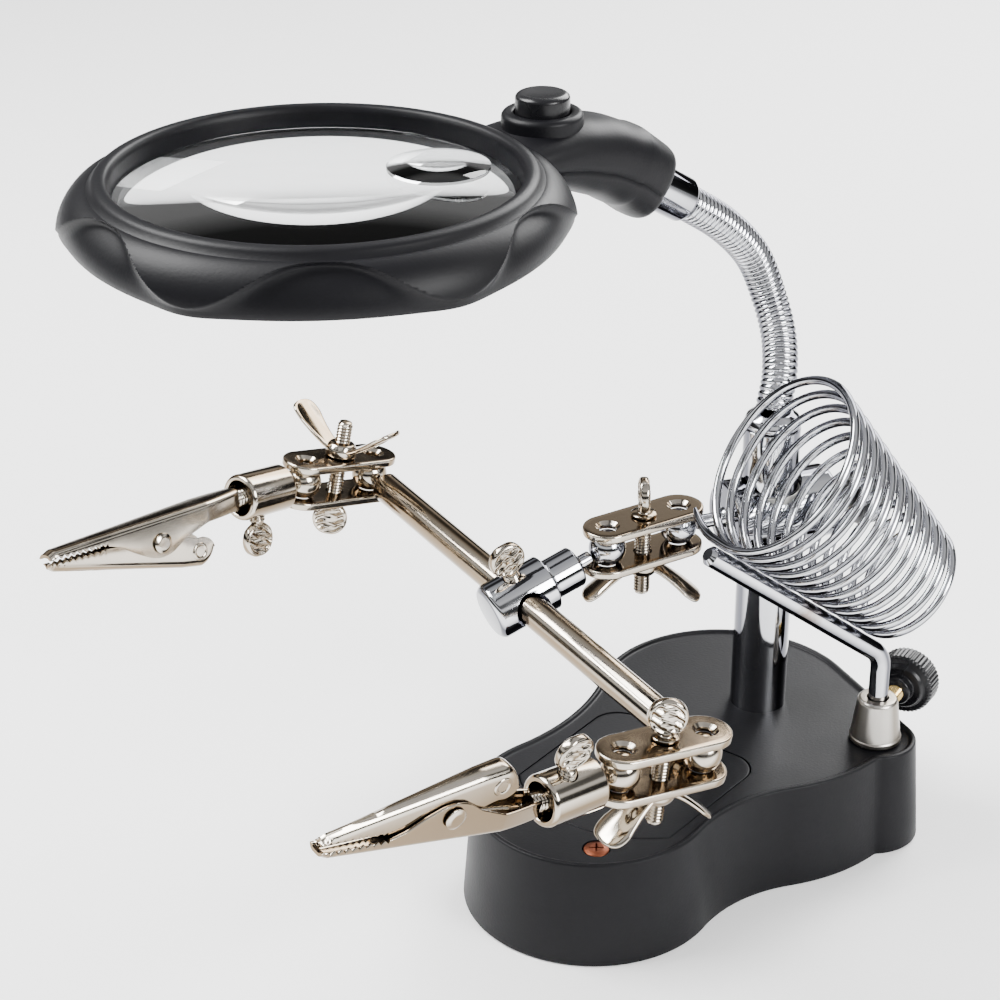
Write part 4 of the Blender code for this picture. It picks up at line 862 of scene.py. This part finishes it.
def moving_jaw(name, place, body, node):
    """Upper channel, its spine on top, with a thumb tail that rises behind the rivet."""
    x = 11.25 + (57.7 - 11.25) * (1 - np.cos(np.linspace(0, math.pi, 360))) / 2
    pad = 4.4 * np.sqrt(np.clip(1 - ((15.65 - x) / 4.4) ** 2, 0, 1))
    spine = smooth_curve(x, [(10, 13.3), (15, 13.3), (20.5, 12.45), (56.6, 4.35), (57.7, 3.4)])
    free = smooth_curve(x, [(10, 5.9), (16, 5.9), (19.5, 4.7), (23, 2.2), (27, 1.4), (32, 2.0), (37, 2.7),
                            (42, 2.3), (57.7, 2.3)])
    spine = np.where(x < 15.65, np.minimum(spine, 9.0 + pad), spine)
    free = np.where(x < 15.65, np.maximum(free, 8.9 - pad * 0.72), free)
    teeth = np.abs(((x - 42) / 1.7) % 1.0 - 0.5) * 1.2
    free = free + teeth * ((x > 42) & (x < 57))
    grid = channel(x, clip_half(x) - 1.0, spine, free, corner=2.1)
    dimple = rounded([(0.2, -2.85), (1.1, -2.85), (1.5, -3.18), (2.0, -3.2), (2.3, -2.85), (2.3, 2.85),
                      (2.0, 3.2), (1.5, 3.18), (1.1, 2.85), (0.2, 2.85)], 0.2, 3)
    ring = at(lathe(dimple, 40), (15.6, 0, 9.2), (0, 1, 0), (1, 0, 0))
    return piece(name, [place(grid), place(ring)], "nickel", body, (node,), sharp=45)


SOCKET, PIVOT = 14.6, np.array((27.0, 0.0, 4.3))


def socket_and_clip(side, ball_centre, direction, screw_side, clip_direction, clip_up):
    """Socket, its thumbscrew, the two jaws, the rivet and the torsion spring."""
    rear = ball_centre + direction * SHOULDER
    begin = BALL + 0.3 - SHOULDER
    shape = [(0.4, begin), (1.75, begin), (1.75, -0.9), (2.5, 0.0), (5.3, 0.0), (5.8, 0.5),
             (5.8, SOCKET - 0.7), (5.35, SOCKET), (4.5, SOCKET), (4.3, SOCKET - 0.3), (4.3, 2.8), (0.3, 2.7)]
    turned = at(lathe(rounded(shape, 0.35, 4), 64), rear, direction, UP)
    socket = piece(f"{side}_clip_socket", turned, "nickel", f"{side}_clip", (f"{side}_socket",))
    lift = screw_side - direction * (screw_side @ direction)
    spot = rear + direction * 8.6
    cut(socket, f"{side} screw bore", at(lathe([(2.3, 2.5), (2.3, 12.0)], 32), spot, lift, direction))
    thumbscrew(f"{side}_clip_thumbscrew", spot, lift, direction, 2.72, 11.6, None,
               f"{side}_clip_thumbscrew", f"{side}_socket_screw")
    mouth = ball_centre + direction * (SHOULDER + SOCKET)
    up = clip_up - clip_direction * (clip_up @ clip_direction)
    place = lambda grid: at(grid, mouth, up, clip_direction)
    fixed_jaw(f"{side}_lower_jaw", place, f"{side}_clip", f"{side}_fixed_jaw")
    moving_jaw(f"{side}_upper_jaw", place, f"{side}_jaw", f"{side}_moving_jaw")
    half = clip_half(PIVOT[0]) + 0.3
    shape = rounded([(0.3, -half - 0.7), (1.6, -half - 0.7), (2.5, -half - 0.3), (2.5, -half), (1.5, -half),
                     (1.5, half), (2.5, half), (2.5, half + 0.3), (1.6, half + 0.7), (0.3, half + 0.7)],
                    0.25, 3)
    turned = at(lathe(shape, 40), PIVOT, (0, 1, 0), (1, 0, 0))
    piece(f"{side}_clip_rivet", place(turned), "nickel", f"{side}_clip", (f"{side}_rivet",))
    t = np.linspace(0, 1, 240)
    a = t * 3 * TURN
    wire = PIVOT + np.stack([2.2 * np.cos(a), -0.95 + 1.9 * t, 2.2 * np.sin(a)], 1)
    piece(f"{side}_clip_spring", place(tube(wire, 0.3, (0, 1, 0), 12)), "satin nickel", f"{side}_clip",
          (f"{side}_spring",))


socket_and_clip("left", LEFT_SOCKET, LEFT_DIR, np.array((0.14, 0.0, -0.99)),
                unit((-0.110, -0.988, 0.111)), np.array((0.20, 0.0, -0.98)))
socket_and_clip("front", FRONT_SOCKET, FRONT_DIR, np.array((0.26, 0.0, 0.97)),
                unit((-0.219, -0.952, 0.212)), np.array((0.17, -0.05, 0.98)))
print("two sockets with clips")

# %% [markdown]
# Iron stand. The ferrule is a casting, the stem a bent chromed bar, and the coil a conical helix
# of the same wire throughout, brazed to the stem where its lowest line rests: the flame left a
# brown mark there.

# %%
FOOT = TOP + 0.3
shape = rounded([(0.3, FOOT - 4), (3.0, FOOT - 4), (3.0, FOOT), (6.45, FOOT), (6.45, FOOT + 1.2),
                 (6.2, FOOT + 1.5), (5.0, FOOT + 11.2), (4.5, FOOT + 11.8), (0.3, FOOT + 11.8)], 0.45, 5)
ferrule = piece("cast_ferrule", at(lathe(shape, 72), EAR), "satin nickel", "base", ("ferrule",))
cut(ferrule, "stem bore", at(lathe([(2.8, FOOT + 1.5), (2.8, FOOT + 16)], 40), EAR))
cut(ferrule, "side bore", at(lathe([(2.5, 1.0), (2.5, 12)], 32), SIDE_SCREW, BACK, UP))
SLOPE = unit((-0.400, -0.684, 0.608))
CORNER_HEIGHT, CORNER_RADIUS, STEM_REACH, STEM_RADIUS = 50.5, 7.0, 61.8, 2.48
LEVEL = unit(SLOPE * (1, 1, 0))
turn = math.acos(SLOPE[2])
setback = CORNER_RADIUS * math.tan(turn / 2)
corner = EAR + UP * CORNER_HEIGHT
crown = corner + SLOPE * STEM_REACH
bend = corner - UP * setback + LEVEL * CORNER_RADIUS
a = np.linspace(0, turn, 24)[:, None]
arc = bend + CORNER_RADIUS * (UP * np.sin(a) - LEVEL * np.cos(a))
straight = np.linspace(0, 1, 16)[:, None]
low_part = EAR + UP * (FOOT + 2.0 + (CORNER_HEIGHT - setback - FOOT - 2.0) * straight[:-1])
high_part = arc[-1] + (crown - arc[-1]) * np.linspace(0, 1, 60)[1:, None]
stem_path = np.concatenate([low_part, arc, high_part])
SIDEWAYS = unit(np.cross(SLOPE, UP))
ACROSS = unit(np.cross(SIDEWAYS, SLOPE))
stem_radius = STEM_RADIUS - 0.9 * np.clip(1 - np.linalg.norm(stem_path - stem_path[-1], axis=1) / 0.8, 0, 1)
piece("bent_stem", tube(stem_path, stem_radius[:, None], SIDEWAYS, 36), "stem", "iron_stand", ("stand_stem",))

MOUTH_R, FAR_R, COIL_LENGTH, COIL_TURNS, OVER_STEM, FLARE = 22.8, 14.2, 56.0, 12, 3.9, 2.4
mouth = crown + ACROSS * (MOUTH_R + OVER_STEM)
far = crown - SLOPE * COIL_LENGTH + ACROSS * (FAR_R + OVER_STEM)
share = np.linspace(0, 1, COIL_TURNS * 72 + 1)[:, None]
a = math.radians(304) - share * COIL_TURNS * TURN
reach = MOUTH_R + (FAR_R - MOUTH_R) * share + FLARE * np.clip(1 - 120 * share, 0, 1)
helix = mouth + (far - mouth) * share + reach * (np.cos(a) * SIDEWAYS + np.sin(a) * ACROSS)
wire_radius = 1.08 * np.sqrt(np.clip(np.minimum(share, 1 - share) * 420 + 0.12, 0, 1))
piece("wire_coil", tube(helix, wire_radius, unit(far - mouth), 16), "chrome", "iron_stand", ("holder_coil",))
print("ferrule, stem and coil:", len(helix), "stations")

# %% [markdown]
# Gooseneck. The tube is wound from profiled strip, so its skin is a fine helix of round ridges: r = R + d
# |sin(pi (s/p - a/turn))|^0.7, round on top and tight between. It is cut at the middle of each link. The end
# lengths ride their links, and each length that holds a joint rides none and stays where it is drawn.

# %%
ROUTE = np.array([(0.0, 0.0, 108.4), (-0.8, 3.4, 115.6), (-4.8, 8.8, 122.8), (-9.6, 11.2, 131.2),
                  (-12.9, 8.2, 141.8), (-15.4, -1.4, 151.9), (-18.9, -13.1, 160.4)])
SLEEVE_END = np.array((-22.7, -25.2, 168.3))


def neck_curve(count):
    """Even points on the Catmull-Rom curve through ROUTE:
    p = (2b + (c-a) t + (2a-5b+4c-d) t^2 + (3b-a-3c+d) t^3) / 2."""
    k = np.vstack([ROUTE[0] - (0, 0, 7), ROUTE, 2 * ROUTE[-1] - ROUTE[-2]])
    a, b, c, d = (k[i : len(k) - 3 + i, None] for i in range(4))
    t = np.linspace(0, 1, 60, endpoint=False)[None, :, None]
    curve = 0.5 * (2 * b + (c - a) * t + (2 * a - 5 * b + 4 * c - d) * t**2 + (3 * b - a - 3 * c + d) * t**3)
    curve = np.vstack([curve.reshape(-1, 3), ROUTE[-1:]])
    run = np.concatenate([[0], np.cumsum(np.linalg.norm(np.diff(curve, axis=0), axis=1))])
    even = np.linspace(0, run[-1], count)
    return np.stack([np.interp(even, run, curve[:, i]) for i in range(3)], 1), run[-1]


PITCHES, PER = 48, 12
neck, length = neck_curve(PITCHES * PER + 1)
hinge_axis = unit((0.908, 0.205, 0.366))
s = np.arange(len(neck))[:, None] / PER
a = angles(48)[None]
ridge = 4.02 + 0.40 * np.abs(np.sin(math.pi * (s - a / TURN))) ** 0.7
skin = tube(neck, ridge, hinge_axis, 48)
marks = [PITCHES * PER * eighths // 8 for eighths in (0, 1, 3, 5, 7, 8)]
owners = [("neck_1", "neck_1"), ("neck_1", "neck_2"), ("neck_2", "neck_3"), ("neck_3", "neck_4"),
          ("neck_4", "neck_4")]
swapped = [("gooseneck_link_1",), ("gooseneck_link_2",), ("gooseneck_link_3",), ("gooseneck_link_4",), ()]
for k, (first, second) in enumerate(owners):
    lo, hi = marks[k], marks[k + 1]
    rider = first if first == second else None
    made = piece(f"wound_tube_{k + 1}", skin[lo : hi + 1], "chrome", rider, swapped[k], sharp=70)
    if first != second:
        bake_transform(made)

shape = rounded([(0.3, 95.6), (5.5, 95.6), (5.5, 103.9), (7.0, 103.9), (7.0, 105.0), (6.4, 106.4),
                 (4.7, 107.6), (0.3, 107.6)], 0.4, 4)
piece("post_cap", lathe(shape, 72), "chrome", "base", ("gooseneck_collar",))
SLEEVE = unit(SLEEVE_END - ROUTE[-1])
span = np.linalg.norm(SLEEVE_END - ROUTE[-1])
shape = rounded([(0.3, 0.4), (4.4, 0.4), (5.1, 0.9), (5.45, 1.6), (5.45, span - 0.4), (5.1, span),
                 (0.3, span)], 0.3, 4)
piece("tube_sleeve", at(lathe(shape, 72), ROUTE[-1], SLEEVE, UP), "chrome", "neck_4", ("sleeve",))
print("gooseneck of", PITCHES, "ridges,", round(float(length), 1), "mm")

# %% [markdown]
# Magnifier. The ring is a moulding seen from above: a bead round the lens, then a domed skirt
# with six scooped grips. A wave line goes round the skirt; above it the dome is untouched, below
# it the wall is scooped in. Where the wave line touches the bead the scoop is deepest.

# %%
HEAD = np.array((-48.5, -107.3, 187.9))
AZIMUTH = math.atan2(82.1, 25.8)
OUT = np.array((math.cos(AZIMUTH), math.sin(AZIMUTH), 0.0))
SIDE = np.array((-OUT[1], OUT[0], 0.0))
BEAD_R, SKIRT_R, DEPTH, BORE_R, LEDGE_R = 45.2, 54.2, 13.3, 42.8, 40.6


def ring_surface(sides=720):
    """Ring as a closed section turned round Z. Over the dome, u runs 0..1 from the bead to the lower
    edge: r = R0 + (R1 - R0) sin(pi u / 2)^1.05, z falls from the bead to the edge, and the scoop
    takes S (1 - exp(-(u - line)/0.10)) (1 - line)^0.35 off the radius below the wave line."""
    a = angles(sides)[None]
    u = np.linspace(0, 1, 60)[:, None]
    r = BEAD_R + 2.2 + (SKIRT_R - BEAD_R - 2.2) * np.sin(math.pi / 2 * u) ** 1.05
    z = -2.2 - (DEPTH - 4.0) * (1 - np.cos(math.pi / 2 * u)) ** 0.85
    line = 0.03 + 0.92 * np.abs(np.sin(3 * (a - AZIMUTH))) ** 2.2
    below = np.clip(u - line, 0, 1)
    scoop = 2.9 * (1 - np.exp(-below / 0.10)) * np.clip(1 - line, 0, 1) ** 0.35
    dome_r, dome_z = r - scoop, z + 0 * a - 0.6 * scoop * (1 - u)
    last = dome_r[-1:]
    bead = rounded([(BORE_R, -7.0), (BORE_R, -1.5), (BEAD_R - 1.7, -0.25), (BEAD_R - 0.6, 0.0),
                    (BEAD_R + 0.8, -0.45), (BEAD_R + 1.6, -1.7)], 0.9, 5)
    foot = np.array([(-0.05, -DEPTH + 1.2), (-0.35, -DEPTH + 0.45), (-1.0, -DEPTH + 0.1), (-1.8, -DEPTH)])
    inside = rounded([(SKIRT_R - 8.0, -DEPTH), (LEDGE_R, -DEPTH), (LEDGE_R, -7.7), (BORE_R, -7.7)], 0.3, 3)
    fixed = lambda section: np.stack([section[:, :1] + 0 * a, section[:, 1:] + 0 * a])
    radius = np.concatenate([fixed(bead)[0], dome_r, last + foot[:, :1], fixed(inside)[0]])
    height = np.concatenate([fixed(bead)[1], dome_z, 0 * a + foot[:, 1:], fixed(inside)[1]])
    return np.stack([radius * np.cos(a), radius * np.sin(a), height], -1)


def neck_surface(sides=96, stations=90):
    """Neck from the ring to the sleeve: superellipse sections whose width, height and tilt run
    smoothly between stations, with a parting seam along both sides."""
    reach = np.array([42.8, 47.0, 53.0, 62.0, 72.0, 79.0])
    fall = np.array([-6.8, -6.6, -6.9, -8.0, -10.8, -14.6])
    wide = np.array([12.6, 12.6, 12.4, 11.8, 11.2, 10.8])
    tall = np.array([3.6, 4.8, 6.2, 8.0, 9.0, 9.4])
    end = SLEEVE_END - HEAD + SLEEVE * 0.45
    t = np.linspace(0, 1, stations)
    far = np.linspace(reach[0], reach[-1], stations - 6)
    window = np.ones(13) / 13
    rounding = lambda v: np.convolve(np.pad(np.interp(far, reach, v), 6, mode="edge"), window, "valid")
    lean = np.clip((far - 50) / 36, 0, 1)
    tilt_end = unit(np.cross(SLEEVE, SIDE))
    tilt_end = tilt_end * np.sign(tilt_end[2])
    tilt = unit(UP * (1 - lean[:, None]) + tilt_end * lean[:, None])
    centre = OUT * far[:, None] + UP * rounding(fall)[:, None]
    w, h = rounding(wide), rounding(tall)
    steps = np.array([0.30, 0.62, 0.84, 0.95, 1.0, 1.0])[:, None]
    centre = np.concatenate([centre, centre[-1] + (end - centre[-1]) * steps])
    shrink = np.array([1.0, 1.0, 1.0, 0.985, 0.95, 0.86])
    w = np.concatenate([w, (w[-1] + (10.2 - w[-1]) * steps[:, 0]) * shrink])
    h = np.concatenate([h, (h[-1] + (9.2 - h[-1]) * steps[:, 0]) * shrink])
    tilt = np.concatenate([tilt, unit(tilt[-1] + (tilt_end - tilt[-1]) * steps)])
    a = angles(sides)[None]
    power = 0.72
    c = np.sign(np.cos(a)) * np.abs(np.cos(a)) ** power
    s = np.sign(np.sin(a)) * np.abs(np.sin(a)) ** power
    seam = 1 - 0.045 * np.exp(-(((np.sin(a) + 0.12) / 0.035) ** 2))
    across, up = (w[:, None] * c * seam)[..., None], (h[:, None] * s * seam)[..., None]
    return centre[:, None] + across * SIDE + up * tilt[:, None]


def head_lathe(section, spot, sides=96):
    """Turned piece standing at a spot of the head."""
    return at(lathe(section, sides), HEAD + spot)


ring = piece("magnifier_ring", HEAD + ring_surface(), "black", "head", ("head_shell",), closed=True, sharp=44)
piece("magnifier_neck", HEAD + neck_surface(), "black", "head", sharp=50)
BUTTON = OUT * 57.6
boss_shape = rounded([(6.35, -2.0), (6.35, 1.7), (6.9, 1.9), (8.3, 1.9), (9.1, 1.1), (9.1, -6.9),
                      (6.35, -6.9)], 0.5, 5)
piece("button_boss", head_lathe(boss_shape, BUTTON), "black", "head", closed=True)
cap = rounded([(0.3, -0.6), (6.05, -0.6), (6.05, 5.3), (5.0, 6.0), (2.8, 5.85), (0.3, 5.75)], 0.7, 5)
piece("push_button", head_lathe(cap, BUTTON), "gloss black", "button", ("switch_button",))
t = np.linspace(0, 1, 40)
upper = np.stack([42.4 * (1 - 0.995 * t), -5.0 + 3.4 * (1 - (1 - t) ** 2)], 1)
lens = np.vstack([np.stack([upper[:, 0], -12.4 - upper[:, 1]], 1)[::-1], upper])
piece("magnifier_lens", head_lathe(lens, 0 * UP, 128), "lens", "head", ("main_lens",), sharp=30)
t = np.linspace(0, 1, 24)
dome = np.stack([10.95 * (1 - 0.98 * t), 0.35 + 1.7 * (1 - (1 - t) ** 2)], 1)
small = head_lathe(np.vstack([[(0.2, -0.4), (10.95, -0.4)], dome]), np.array((17.0, 19.0, -1.2)), 96)
piece("strong_lens", small, "lens", "head", ("small_lens",), sharp=30)
for name, offset in (("left", 5.0), ("right", -5.0)):
    spot = OUT * 45.8 + SIDE * offset
    cut(ring, f"lamp hole {name}", at(lathe([(2.7, -17.0), (2.7, -9.5)], 32), HEAD + spot))
    shape = rounded([(0.2, -13.2), (1.2, -13.1), (2.1, -12.6), (2.38, -11.6), (2.38, -9.8), (0.2, -9.8)],
                    0.5, 5)
    piece(f"lamp_{name}", head_lathe(shape, spot, 40), "lamp", "head", (f"led_{name}",))
print("magnifier: ring, neck, boss, button, lenses and lamps")
